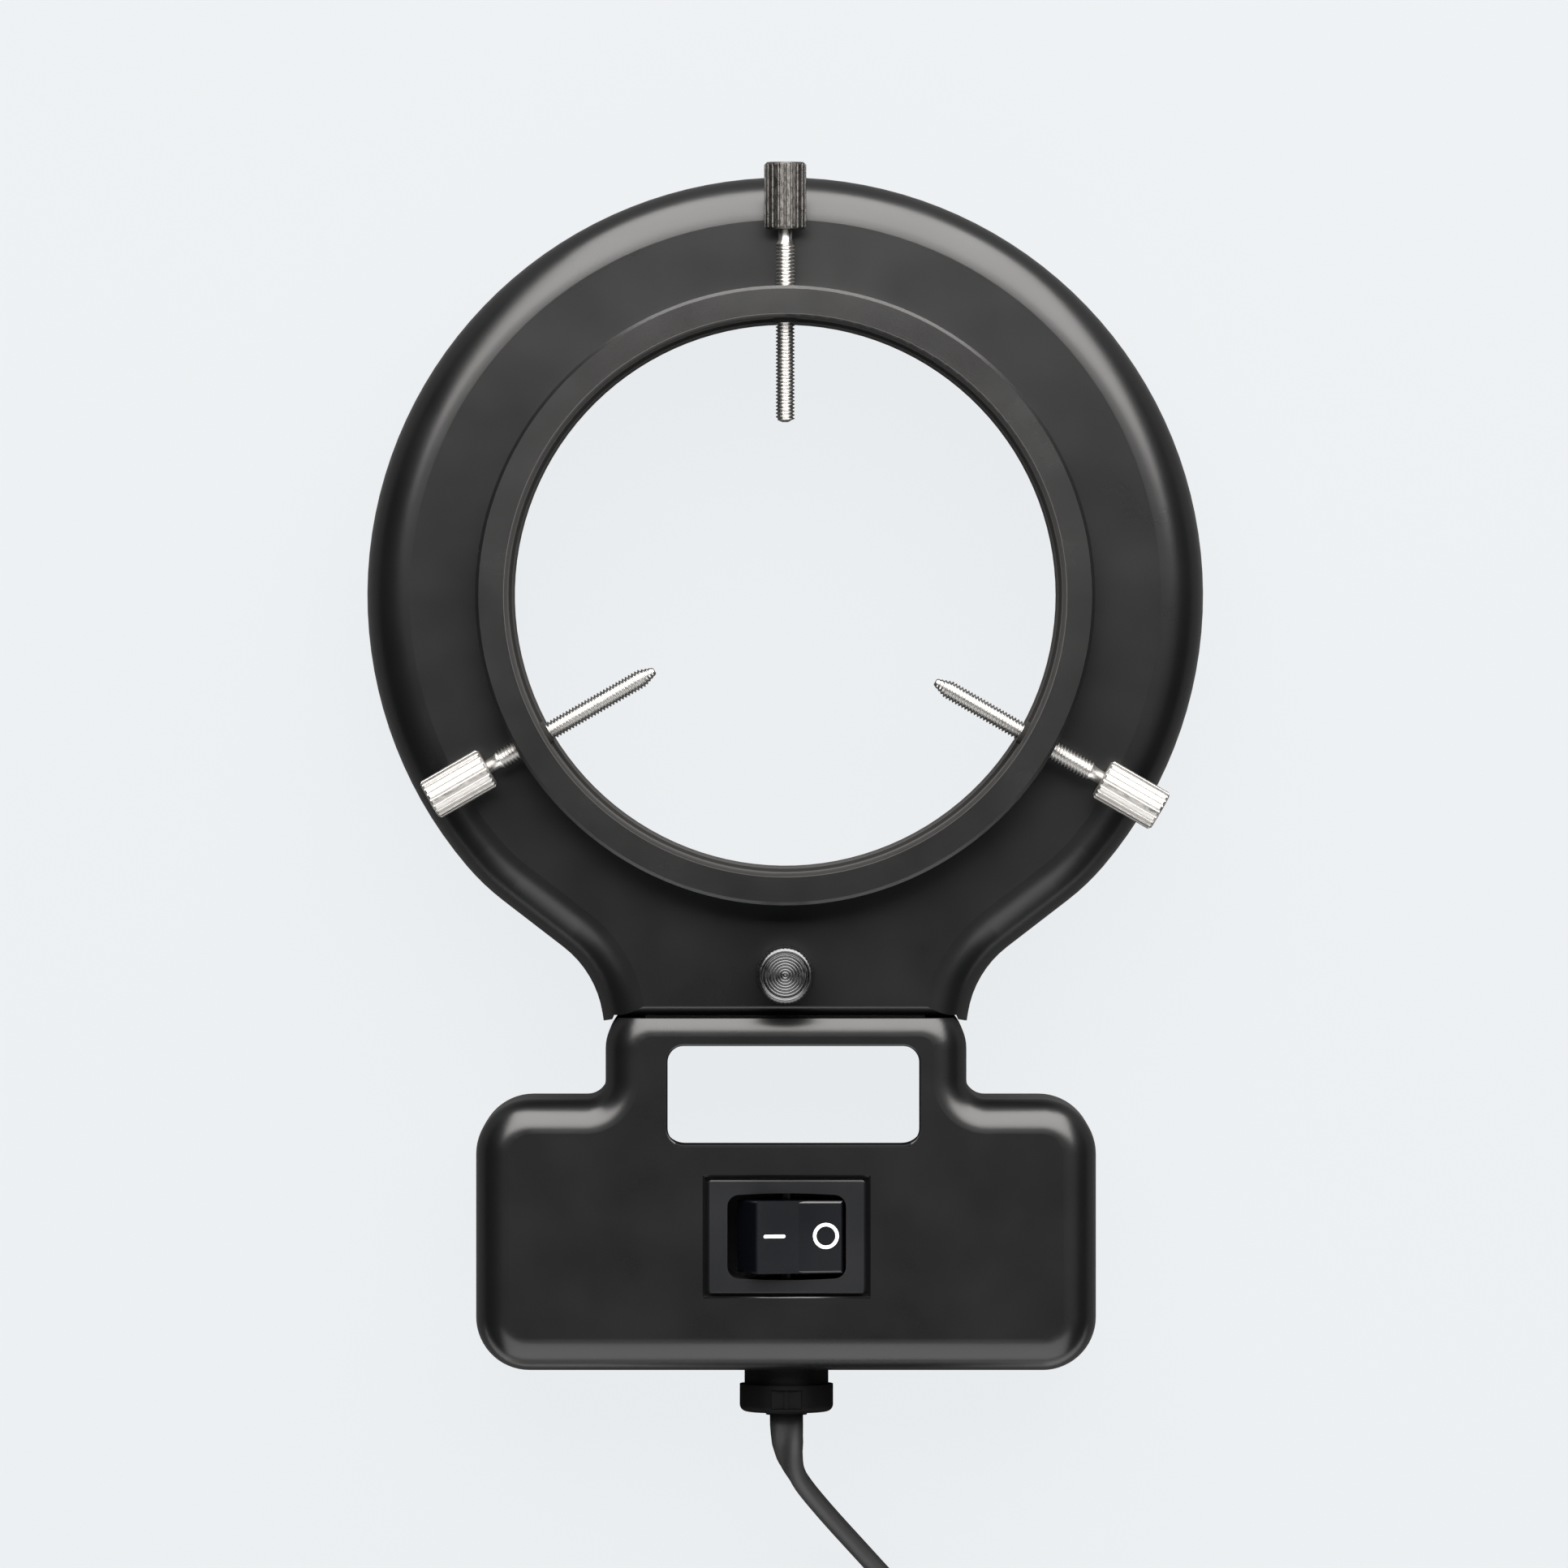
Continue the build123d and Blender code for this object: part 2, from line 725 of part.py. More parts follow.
# Spring clips that hold the lamp under the reflector
clip_inner = lamp_radius + SLIP_GAP
with BuildPart() as lamp_clips:
    for angle in lamp_clip_angles:
        with BuildSketch(radial_plane(angle)):
            with Locations((lamp_circle_radius, lamp_z)):
                Circle(clip_inner + sheet - SEAT_GAP)
            with Locations((lamp_circle_radius, (lamp_z + reflector_top - sheet) / 2)):
                Rectangle(lamp_clip_stem, reflector_top - sheet - lamp_z)
            with Locations((lamp_circle_radius, lamp_z)):
                Circle(clip_inner, mode=Mode.SUBTRACT)
            half = radians(180 - lamp_clip_wrap_angle / 2)
            with BuildLine():
                Polyline(
                    (lamp_circle_radius, lamp_z),
                    (lamp_circle_radius - 2 * lamp_z * tan(half), -lamp_z),
                    (lamp_circle_radius + 2 * lamp_z * tan(half), -lamp_z),
                    close=True,
                )
            make_face(mode=Mode.SUBTRACT)
        extrude(amount=lamp_clip_width / 2, both=True)
save(lamp_clips, "lamp_clips")

# Neck cover under the lamp's ends, with a threaded insert for the thumbscrew
wedge_far = 2 * ring_radius
with BuildPart() as neck_cover:
    with BuildSketch(Plane.XY.offset(cover_floor)):
        offset(long_outline.sketch, amount=-ring_wall - FREE_GAP)
        with BuildLine():
            Polyline(
                (0, 0),
                (wedge_far * sin(radians(cover_half_angle)),
                 -wedge_far * cos(radians(cover_half_angle))),
                (-wedge_far * sin(radians(cover_half_angle)),
                 -wedge_far * cos(radians(cover_half_angle))),
                close=True,
            )
        make_face(mode=Mode.INTERSECT)
        with Locations((0, neck_end_y + FREE_GAP - ring_radius)):
            Rectangle(2 * ring_radius, 2 * ring_radius, mode=Mode.SUBTRACT)
        Circle(cover_inner_radius, mode=Mode.SUBTRACT)
    extrude(amount=cover_sheet)
    with BuildSketch(Plane.XY.offset(cover_floor)):
        with Locations((thumb_x, thumb_y)):
            Circle(thumb_boss_radius)
    extrude(amount=thumb_boss_floor - cover_floor)
    with BuildSketch(Plane.XY.offset(thumb_boss_floor)):
        with Locations((thumb_x, thumb_y)):
            Circle(insert_radius + SEAT_GAP / 2)
    extrude(amount=insert_floor - thumb_boss_floor, mode=Mode.SUBTRACT)
    with BuildSketch(Plane.XY.offset(insert_floor)):
        with Locations((thumb_x, thumb_y)):
            Circle(thumb_shank_radius + SLIP_GAP)
    extrude(amount=thumb_tip_z - FREE_GAP - insert_floor, mode=Mode.SUBTRACT)
save(neck_cover, "neck_cover")

with BuildPart() as neck_cover_insert:
    with BuildSketch(Plane.XY.offset(insert_floor)):
        with Locations((thumb_x, thumb_y)):
            Circle(insert_radius)
            Circle(thumb_shank_radius + thumb_thread_gap, mode=Mode.SUBTRACT)
    extrude(amount=thumb_boss_floor - SEAT_GAP - insert_floor)
save(neck_cover_insert, "neck_cover_insert")

# Outline of the ballast box and of the window in its handle
with BuildSketch() as whole_outline:
    with BuildLine():
        Polyline(
            (box_centre_x + handle_half, box_top_y),
            (box_centre_x + handle_half, shoulder_y),
            (box_centre_x + body_half, shoulder_y),
            (box_centre_x + body_half, box_bottom_y),
            (box_centre_x - body_half, box_bottom_y),
            (box_centre_x - body_half, shoulder_y),
            (box_centre_x - handle_half, shoulder_y),
            (box_centre_x - handle_half, box_top_y),
            close=True,
        )
    make_face()
    for side in (-1, 1):
        corner_x = box_centre_x + side * handle_half
        body_x = box_centre_x + side * body_half
        fillet(at(whole_outline.vertices(), corner_x, box_top_y), handle_corner)
        fillet(at(whole_outline.vertices(), corner_x, shoulder_y), handle_root)
        fillet(at(whole_outline.vertices(), body_x, shoulder_y), shoulder_corner)
        fillet(at(whole_outline.vertices(), body_x, box_bottom_y), bottom_corner)

# The part of that outline outside the hood, where the handle has a flat face
beyond_face = (box_centre_x, handle_face_y + box_wall)
with BuildSketch() as box_outline:
    add(whole_outline.sketch)
    with Locations(beyond_face):
        Rectangle(2 * body_half, 2 * box_wall, mode=Mode.SUBTRACT)

window_centre = ((window_left + window_right) / 2, (window_top_y + window_low_y) / 2)
with BuildSketch() as window_outline:
    with Locations(window_centre):
        RectangleRounded(window_right - window_left, window_top_y - window_low_y, window_corner)

case_screw_places = [
    (box_centre_x + side * case_screw_x, y)
    for side in (-1, 1)
    for y in (case_screw_high_y, case_screw_low_y)
]
ceiling = box_height - box_wall

# Hollow of the box, round the wall of the window and the screw bosses
with BuildPart() as box_hollow:
    with BuildSketch():
        offset(whole_outline.sketch, amount=-box_wall)
    extrude(amount=ceiling)
    fillet(box_hollow.edges().group_by(Axis.Z)[-1], box_inner_fillet)
    with BuildSketch():
        with Locations((box_centre_x, handle_face_y)):
            Rectangle(2 * body_half, 2 * box_wall)
    extrude(amount=ceiling, mode=Mode.SUBTRACT)
    with BuildSketch():
        offset(window_outline.sketch, amount=box_wall)
    extrude(amount=box_height, mode=Mode.SUBTRACT)
    with BuildSketch(Plane.XY.offset(box_wall + SEAT_GAP)):
        with Locations(*case_screw_places):
            Circle(case_boss_radius)
    extrude(amount=box_height, mode=Mode.SUBTRACT)
    with BuildSketch(Plane.XY.offset(ceiling - ledge_height)):
        with Locations((switch_x, switch_y)):
            Rectangle(switch_body_length + 2 * ledge_width, switch_body_width + 2 * ledge_width)
    extrude(amount=box_height, mode=Mode.SUBTRACT)

bezel_face = box_height + bezel_proud
bezel_floor = bezel_face - bezel_thickness
with BuildPart() as ballast_housing:
    add(whole_outline.sketch)
    extrude(amount=box_height)
    fillet(ballast_housing.edges().group_by(Axis.Z)[-1], box_edge_radius)
    with BuildSketch():
        with Locations(beyond_face):
            Rectangle(2 * body_half, 2 * box_wall)
    extrude(amount=box_height, mode=Mode.SUBTRACT)
    with BuildSketch(Plane.XY.offset(tongue_floor)):
        with Locations((0, (tongue_tip_y + handle_face_y - box_wall) / 2)):
            Rectangle(2 * tongue_half, tongue_tip_y - handle_face_y + box_wall)
        with Locations((0, (tongue_root_y + handle_face_y - box_wall) / 2)):
            Rectangle(2 * tongue_root_half, tongue_root_y - handle_face_y + box_wall)
    extrude(amount=tongue_sheet)
    add(box_hollow.part, mode=Mode.SUBTRACT)
    with BuildSketch(Plane.XY.offset(box_height)):
        add(window_outline.sketch)
    extrude(amount=-box_height - OVERRUN, taper=-window_draft, mode=Mode.SUBTRACT)
    window_edges = [
        e
        for e in ballast_housing.edges().filter_by_position(
            Axis.Z, box_height - SEAT_GAP, box_height + SEAT_GAP
        )
        if window_left - SEAT_GAP < e.center().X < window_right + SEAT_GAP
        and window_low_y - SEAT_GAP < e.center().Y < window_top_y + SEAT_GAP
    ]
    fillet(window_edges, window_lip)
    with BuildSketch(Plane.XY.offset(tongue_floor)):
        with Locations((thumb_x, thumb_y)):
            Circle(thumb_boss_radius + tongue_notch)
        with Locations((thumb_x, tongue_tip_y)):
            Rectangle(2 * thumb_boss_radius + 2 * tongue_notch, thumb_y - tongue_tip_y)
        with Locations(*tongue_screw_places):
            Circle(tongue_boss_radius + SLIP_GAP)
    extrude(amount=tongue_sheet, mode=Mode.SUBTRACT)
    with BuildSketch():
        with Locations(*case_screw_places):
            Circle(case_pilot_radius)
    extrude(amount=case_pilot_depth, mode=Mode.SUBTRACT)
    with BuildSketch(Plane.XY.offset(bezel_floor - SEAT_GAP)):
        with Locations((switch_x, switch_y)):
            Rectangle(bezel_length + 2 * bezel_recess_gap, bezel_width + 2 * bezel_recess_gap)
    extrude(amount=box_height, mode=Mode.SUBTRACT)
    recess_edges = [
        e
        for e in ballast_housing.edges().group_by(Axis.Z)[-1]
        if abs(e.center().X - switch_x) < bezel_length / 2 + bezel_recess_gap + SEAT_GAP
        and abs(e.center().Y - switch_y) < bezel_width / 2 + bezel_recess_gap + SEAT_GAP
    ]
    chamfer(recess_edges, bezel_recess_edge)
    with BuildSketch():
        with Locations((switch_x, switch_y)):
            Rectangle(switch_body_length + 2 * SLIP_GAP, switch_body_width + 2 * SLIP_GAP)
    extrude(amount=box_height, mode=Mode.SUBTRACT)
    with BuildSketch(Plane.XZ.offset(-box_bottom_y)):
        with Locations((gland_x, gland_z)):
            Circle(gland_barrel_radius + SEAT_GAP)
    extrude(amount=2 * box_wall, both=True, mode=Mode.SUBTRACT)
    with BuildSketch(Plane.XZ.offset(-handle_face_y)):
        with Locations((plug_block_x, lamp_z)):
            Circle(lead_hole_radius)
    extrude(amount=2 * box_wall, both=True, mode=Mode.SUBTRACT)
save(ballast_housing, "ballast_housing")

post_places = [(side * board_post_x, y) for side in (-1, 1) for y in board_post_y]
with BuildPart() as ballast_cover:
    with BuildSketch():
        offset(box_outline.sketch, amount=-box_wall - SLIP_GAP)
        offset(window_outline.sketch, amount=box_wall + SLIP_GAP, mode=Mode.SUBTRACT)
    extrude(amount=box_wall)
    with BuildSketch(Plane.XY.offset(box_wall)):
        with Locations(*post_places):
            Circle(board_post_radius)
    extrude(amount=board_floor - box_wall)
    with BuildSketch(Plane.XY.offset(box_wall / 2 - SEAT_GAP)):
        with Locations(*post_places):
            Circle(board_screw_radius + SEAT_GAP)
    extrude(amount=board_floor, mode=Mode.SUBTRACT)
    with Locations(*[(x, y, 0) for x, y in case_screw_places]):
        with Locations(Rotation(180, 0, 0)):
            CounterSinkHole(
                case_screw_radius + SLIP_GAP,
                case_head_radius + SEAT_GAP,
                depth=box_wall,
                counter_sink_angle=2 * head_taper,
            )
save(ballast_cover, "ballast_cover")

with BuildPart() as case_screws:
    with BuildSketch():
        with Locations(*case_screw_places):
            Circle(case_head_radius)
    extrude(amount=case_head_radius - case_screw_radius, taper=head_taper)
    with BuildSketch():
        with Locations(*case_screw_places):
            Circle(case_screw_radius)
    extrude(amount=case_screw_length)
save(case_screws, "case_screws")

tongue_head_top = tongue_floor - SEAT_GAP
with BuildPart() as tongue_screws:
    with BuildSketch(Plane.XY.offset(tongue_head_top - tongue_screw_head_height)):
        with Locations(*tongue_screw_places):
            Circle(tongue_screw_head)
    extrude(amount=tongue_screw_head_height)
    fillet(tongue_screws.edges().group_by(Axis.Z)[0], tongue_screw_head_height / 2)
    with BuildSketch(Plane.XY.offset(tongue_head_top)):
        with Locations(*tongue_screw_places):
            Circle(tongue_pilot_radius - SEAT_GAP)
    extrude(amount=tongue_screw_reach)
save(tongue_screws, "tongue_screws")

# Rocker switch: a body whose bezel sits in a recess of the box, and a rocker on two pins
switch_centre = (switch_x, switch_y)
pivot_z = bezel_face - rocker_pivot_depth

well_left, well_right = switch_x - well_length / 2, switch_x + well_length / 2
well_low, well_high = switch_y - well_width / 2, switch_y + well_width / 2
with BuildSketch() as well_outline:
    with BuildLine():
        ThreePointArc(
            (well_left, well_high), (switch_x, well_high + well_bulge), (well_right, well_high)
        )
        Line((well_right, well_high), (well_right, well_low))
        ThreePointArc(
            (well_right, well_low), (switch_x, well_low - well_bulge), (well_left, well_low)
        )
        Line((well_left, well_low), (well_left, well_high))
    make_face()
    fillet(well_outline.vertices(), well_corner)

with BuildPart() as switch_body:
    with BuildSketch(Plane.XY.offset(bezel_floor)):
        with Locations(switch_centre):
            RectangleRounded(bezel_length, bezel_width, bezel_corner)
    extrude(amount=bezel_thickness)
    chamfer(switch_body.edges().group_by(Axis.Z)[-1], bezel_proud)
    with BuildSketch(Plane.XY.offset(bezel_floor - switch_body_depth)):
        with Locations(switch_centre):
            Rectangle(switch_body_length, switch_body_width)
    extrude(amount=switch_body_depth)
    with BuildSketch(Plane.XY.offset(bezel_face - well_depth)):
        add(well_outline.sketch)
    extrude(amount=well_depth, mode=Mode.SUBTRACT)
    with BuildSketch(Plane.XZ.offset(-switch_y)):
        with Locations((switch_x, pivot_z)):
            Circle(rocker_pin_radius + rocker_pin_gap)
    extrude(
        amount=rocker_width / 2 + rocker_pin_length + rocker_pin_gap,
        both=True,
        mode=Mode.SUBTRACT,
    )
save(switch_body, "switch_body")

tilt = radians(rocker_tilt)
rocker_plane = Plane(
    origin=(switch_x, switch_y, pivot_z),
    x_dir=(cos(tilt), 0, -sin(tilt)),
    z_dir=(0, -1, 0),
)
with BuildPart() as rocker:
    with BuildSketch(rocker_plane):
        with BuildLine():
            Polyline(
                (-rocker_keel_half, -rocker_keel_depth),
                (rocker_keel_half, -rocker_keel_depth),
                (rocker_foot_half, rocker_foot_height),
                (rocker_top_half, rocker_top_height),
                (0, rocker_top_height - rocker_dip),
                (-rocker_top_half, rocker_top_height),
                (-rocker_foot_half, rocker_foot_height),
                close=True,
            )
        make_face()
    extrude(amount=rocker_width / 2, both=True)
    crown = [e for e in rocker.edges() if e.center().Z > bezel_face]
    fillet([e for e in crown if abs(e.center().X - switch_x) > rocker_keel_half / 2], rocker_edge)
    with BuildSketch(rocker_plane):
        Circle(rocker_pin_radius)
    extrude(amount=rocker_width / 2 + rocker_pin_length, both=True)
save(rocker, "rocker")

board_top = board_floor + board_sheet
capacitor_height = ceiling - board_top - capacitor_headroom
terminal_top = bezel_floor - switch_body_depth
with BuildPart() as switch_terminals:
    with BuildSketch(Plane.XY.offset(board_top)):
        with Locations(switch_centre):
            with GridLocations(2 * terminal_spacing, 0, 2, 1):
                Rectangle(terminal_thickness, terminal_width)
    extrude(amount=terminal_top - board_top)
save(switch_terminals, "switch_terminals")

# Ballast circuit on its board
board_mid_y = (board_high_y + board_low_y) / 2
with BuildPart() as circuit_board:
    with BuildSketch(Plane.XY.offset(board_floor)):
        with Locations((0, board_mid_y)):
            Rectangle(2 * board_half, board_high_y - board_low_y)
        with Locations(*post_places):
            Circle(board_screw_radius + SLIP_GAP, mode=Mode.SUBTRACT)
    extrude(amount=board_sheet)
save(circuit_board, "circuit_board")

with BuildPart() as board_screws:
    with BuildSketch(Plane.XY.offset(board_top)):
        with Locations(*post_places):
            Circle(board_screw_head)
    extrude(amount=board_screw_head_height)
    fillet(board_screws.edges().group_by(Axis.Z)[-1], board_screw_head_height / 2)
    with BuildSketch(Plane.XY.offset(box_wall / 2)):
        with Locations(*post_places):
            Circle(board_screw_radius)
    extrude(amount=board_top - box_wall / 2)
save(board_screws, "board_screws")

choke_centre = (choke_x, choke_y)
with BuildPart() as choke_core:
    with BuildSketch(Plane.XY.offset(board_top)):
        with Locations(choke_centre):
            Rectangle(choke_length, choke_width)
    extrude(amount=choke_height)
    with BuildSketch(Plane.XZ.offset(-choke_y)):
        with Locations((choke_x, board_top + choke_height / 2)):
            Rectangle(bobbin_length + SEAT_GAP, bobbin_height + SEAT_GAP)
    extrude(amount=choke_width, both=True, mode=Mode.SUBTRACT)
    chamfer(choke_core.edges().filter_by(Axis.Y).group_by(Axis.Z)[-1], sheet)
save(choke_core, "choke_core")

with BuildPart() as choke_winding:
    with BuildSketch(Plane.XZ.offset(-choke_y)):
        with Locations((choke_x, board_top + choke_height / 2)):
            RectangleRounded(bobbin_length, bobbin_height, sheet)
    extrude(amount=bobbin_width / 2, both=True)
save(choke_winding, "choke_winding")

with BuildPart() as smoothing_capacitor:
    with BuildSketch(Plane.XY.offset(board_top)):
        with Locations((capacitor_x, capacitor_y)):
            Circle(capacitor_radius)
    extrude(amount=capacitor_height)
    fillet(smoothing_capacitor.edges().group_by(Axis.Z)[-1], sheet)
save(smoothing_capacitor, "smoothing_capacitor")

with BuildPart() as film_capacitors:
    with BuildSketch(Plane.XY.offset(board_top)):
        with Locations(*[(x, film_y) for x in film_x]):
            Rectangle(film_length, film_width)
    extrude(amount=film_height)
    fillet(film_capacitors.edges().group_by(Axis.Z)[-1], sheet)
save(film_capacitors, "film_capacitors")

with BuildPart() as transistors:
    with BuildSketch(Plane.XY.offset(board_top)):
        with Locations(*zip(transistor_x, transistor_y)):
            Rectangle(transistor_length, transistor_width)
    extrude(amount=transistor_height)
    chamfer(transistors.edges().filter_by(Axis.X).group_by(Axis.Z)[-1], sheet)
save(transistors, "transistors")

with BuildPart() as diodes:
    for index in range(diode_count):
        middle = (diode_x, diode_y - index * diode_pitch, board_top + diode_radius)
        with BuildSketch(Plane(origin=middle, x_dir=(0, 1, 0), z_dir=(1, 0, 0))):
            Circle(diode_radius)
        extrude(amount=diode_length / 2, both=True)
save(diodes, "diodes")

with BuildPart() as lamp_plug_block:
    with BuildSketch(Plane.XY.offset(board_top)):
        with Locations((plug_block_x, plug_block_y)):
            Rectangle(plug_block_length, plug_block_width)
    extrude(amount=plug_block_height)
    fillet(lamp_plug_block.edges().filter_by(Axis.Z), sheet)
save(lamp_plug_block, "lamp_plug_block")

# Strain relief in the wall of the box, turned about the cord's axis, and its locking wedge
gland_axis = Axis((gland_x, 0, gland_z), (0, 1, 0))
neck_y = box_bottom_y - gland_neck_length
flange_y = neck_y - gland_flange_length
inside_y = box_bottom_y + box_wall
with BuildPart() as strain_relief:
    with BuildSketch(Plane.XY.offset(gland_z)) as gland_section:
        with BuildLine():
            Polyline(
                (gland_x, inside_y + gland_barb_length),
                (gland_x + gland_barrel_radius, inside_y + gland_barb_length),
                (gland_x + gland_barb_radius, inside_y + SEAT_GAP),
                (gland_x + gland_barrel_radius, inside_y + SEAT_GAP),
                (gland_x + gland_barrel_radius, box_bottom_y),
                (gland_x + gland_neck_radius, box_bottom_y),
                (gland_x + gland_neck_radius, neck_y),
                (gland_x + gland_flange_radius, neck_y),
                (gland_x + gland_flange_radius, flange_y),
                (gland_x + gland_lip_radius, flange_y),
                (gland_x + gland_lip_radius, flange_y - gland_lip_length),
                (gland_x, flange_y - gland_lip_length),
                close=True,
            )
        make_face()
        low_corner = at(gland_section.vertices(), gland_x + gland_flange_radius, flange_y)
        fillet(low_corner, gland_flange_corner)
    revolve(axis=gland_axis)
    wedge_top = gland_z + gland_flange_radius
    wedge_place = (gland_x, (neck_y + flange_y) / 2)
    with BuildSketch(Plane.XY.offset(wedge_top - wedge_depth)):
        with Locations(wedge_place):
            Rectangle(wedge_width + 2 * SEAT_GAP, wedge_length + 2 * SEAT_GAP)
    extrude(amount=2 * wedge_depth, mode=Mode.SUBTRACT)
save(strain_relief, "strain_relief")

with BuildPart() as strain_relief_wedge:
    with BuildSketch(Plane.XY.offset(wedge_top - wedge_depth)):
        with Locations(wedge_place):
            Rectangle(wedge_width, wedge_length)
    extrude(amount=wedge_depth - wedge_inset)
    with BuildSketch(Plane.XY.offset(wedge_top - wedge_inset)):
        with Locations(wedge_place):
            Rectangle(wedge_inset, wedge_length)
    extrude(amount=wedge_inset / 2)
save(strain_relief_wedge, "strain_relief_wedge")


def tube(route, radius, first_direction, side):
    """A faceted tube along straight runs joined by the largest smooth arcs."""
    radii, turns = arc_radii(route)
    with BuildPart() as piece:
        with BuildLine() as path:
            FilletPolyline(*route, radius=radii)
        with BuildSketch(Plane(origin=route[0], x_dir=side, z_dir=first_direction)):
            RegularPolygon(radius, cord_sides, rotation=180 / cord_sides)
        sweep()
    length = path.wires()[0].length
    print("  arcs", [round(r, 1) for r in radii], "turns", [round(t) for t in turns])
    section = cord_sides / 2 * radius**2 * sin(2 * pi / cord_sides)
    print(f"  length {length:.1f}, volume over section times length "
          f"{piece.part.volume / section / length:.4f}")
    return piece


supply_cord = tube(cord_route, cord_radius, (0, -1, 0), (1, 0, 0))
save(supply_cord, "supply_cord")

lamp_lead = tube(lamp_lead_route, lamp_lead_radius, (0, 1, 0), (1, 0, 0))
save(lamp_lead, "lamp_lead")

with BuildPart() as mains_leads:
    for side in (-1, 1):
        x = gland_x + side * mains_lead_offset
        add(tube([(x, y, z) for y, z in mains_lead_route], mains_lead_radius, (0, 1, 0), (1, 0, 0)))
save(mains_leads, "mains_leads")

# Coil: half turns inward, a climb in the half turn where the spiral reverses, and out again
seam = (cos(radians(coil_seam_angle)), sin(radians(coil_seam_angle)))
heading = (seam[1], -seam[0])
cord_end = cord_route[-1]
lead_in = 2 * cord_radius
coil_x = cord_end[0] + lead_in * heading[0] - coil_outer_radius * seam[0]
coil_y = cord_end[1] + lead_in * heading[1] - coil_outer_radius * seam[1]


def coil_point(along_seam, along_heading, height):
    """A point of the coil, from places along the seam and along the first heading."""
    return (
        coil_x + along_seam * seam[0] + along_heading * heading[0],
        coil_y + along_seam * seam[1] + along_heading * heading[1],
        height,
    )


inward = [coil_outer_radius - k * coil_pitch / 2 for k in range(coil_half_turns + 1)]
reaches = inward + inward[::-1]
levels = [cord_radius] * len(inward) + [cord_radius + coil_rise] * len(inward)
knots = [reach * (-1) ** k for k, reach in enumerate(reaches)]
with BuildLine() as coil_path:
    Line(cord_end, coil_point(coil_outer_radius, 0, cord_radius))
    for k in range(len(knots) - 1):
        side = 1 if knots[k] > 0 else -1
        rise = levels[k + 1] - levels[k]
        bulge = hypot(knots[k] - knots[k + 1], rise) / 2
        middle = coil_point((knots[k] + knots[k + 1]) / 2, side * bulge, levels[k] + rise / 2)
        ThreePointArc(
            coil_point(knots[k], 0, levels[k]), middle, coil_point(knots[k + 1], 0, levels[k + 1])
        )
    last_side = 1 if knots[-1] > 0 else -1
    Line(
        coil_point(knots[-1], 0, levels[-1]),
        coil_point(knots[-1], last_side * lead_in, levels[-1]),
    )

coil_wire = coil_path.wires()[0]
with BuildPart() as cord_coil:
    with BuildSketch(Plane(origin=cord_end, x_dir=(seam[0], seam[1], 0), z_dir=(*heading, 0))):
        RegularPolygon(cord_radius, cord_sides, rotation=180 / cord_sides)
    sweep(path=coil_wire)
save(cord_coil, "cord_coil")

samples = coil_samples * len(knots)
coil_points = [tuple(coil_wire.position_at(i / samples)) for i in range(samples + 1)]
step = coil_wire.length / samples
near = int(3 * lead_in / step) + 1
least = min(
    dist(coil_points[i], coil_points[j])
    for i in range(samples + 1)
    for j in range(i + near, samples + 1)
)
print(f"  coil length {coil_wire.length:.0f}, least gap to itself {least - 2 * cord_radius:.3f}")

# Plug, lying beside the coil
plug_start = coil_point(knots[-1], last_side * lead_in, levels[-1])
plug_heading = (last_side * heading[0], last_side * heading[1], 0)
plug_across = (-plug_heading[1], plug_heading[0], 0)
plug_thickness = 2 * levels[-1]
flare_start = plug_relief_length
flare_end = flare_start + plug_flare_length
grip_end = flare_end + plug_grip_length
plug_plane = Plane(origin=plug_start, x_dir=plug_heading, z_dir=(0, 0, 1))
with BuildPart() as plug_body:
    with BuildSketch(plug_plane.offset(-levels[-1])):
        with BuildLine():
            Polyline(
                (flare_start, plug_flare_half),
                (flare_end, plug_half_width),
                (grip_end, plug_half_width),
                (grip_end, -plug_half_width),
                (flare_end, -plug_half_width),
                (flare_start, -plug_flare_half),
                close=True,
            )
        make_face()
    extrude(amount=plug_thickness)
    fillet(plug_body.edges(), plug_corner)
    with BuildSketch(Plane(origin=plug_start, x_dir=plug_across, z_dir=plug_heading)):
        Circle(plug_relief_radius)
    extrude(amount=plug_relief_length + plug_corner)
save(plug_body, "plug_body")

blade_face = Plane(
    origin=(
        plug_start[0] + grip_end * plug_heading[0],
        plug_start[1] + grip_end * plug_heading[1],
        levels[-1],
    ),
    x_dir=plug_across,
    z_dir=plug_heading,
)
with BuildPart() as plug_blades:
    with BuildSketch(blade_face):
        with GridLocations(blade_spacing, 0, 2, 1):
            Rectangle(blade_thickness, blade_width)
    extrude(amount=blade_length)
    chamfer(plug_blades.faces().sort_by(Axis(blade_face.origin, plug_heading))[-1].edges(), sheet)
save(plug_blades, "plug_blades")
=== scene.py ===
"""Looks of the fluorescent ring light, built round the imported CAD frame.

The frame is the CAD's: the origin is on the ring's axis at the underside, +Z points up out of the
collar, +Y points from the ballast box to the ring. Blender works in metres. The sizes of pieces and
of their surface detail are in millimetres, unless MM has made metres of them. Lights, floor and
camera are in metres.
"""

from math import ceil, cos, pi, radians, sin

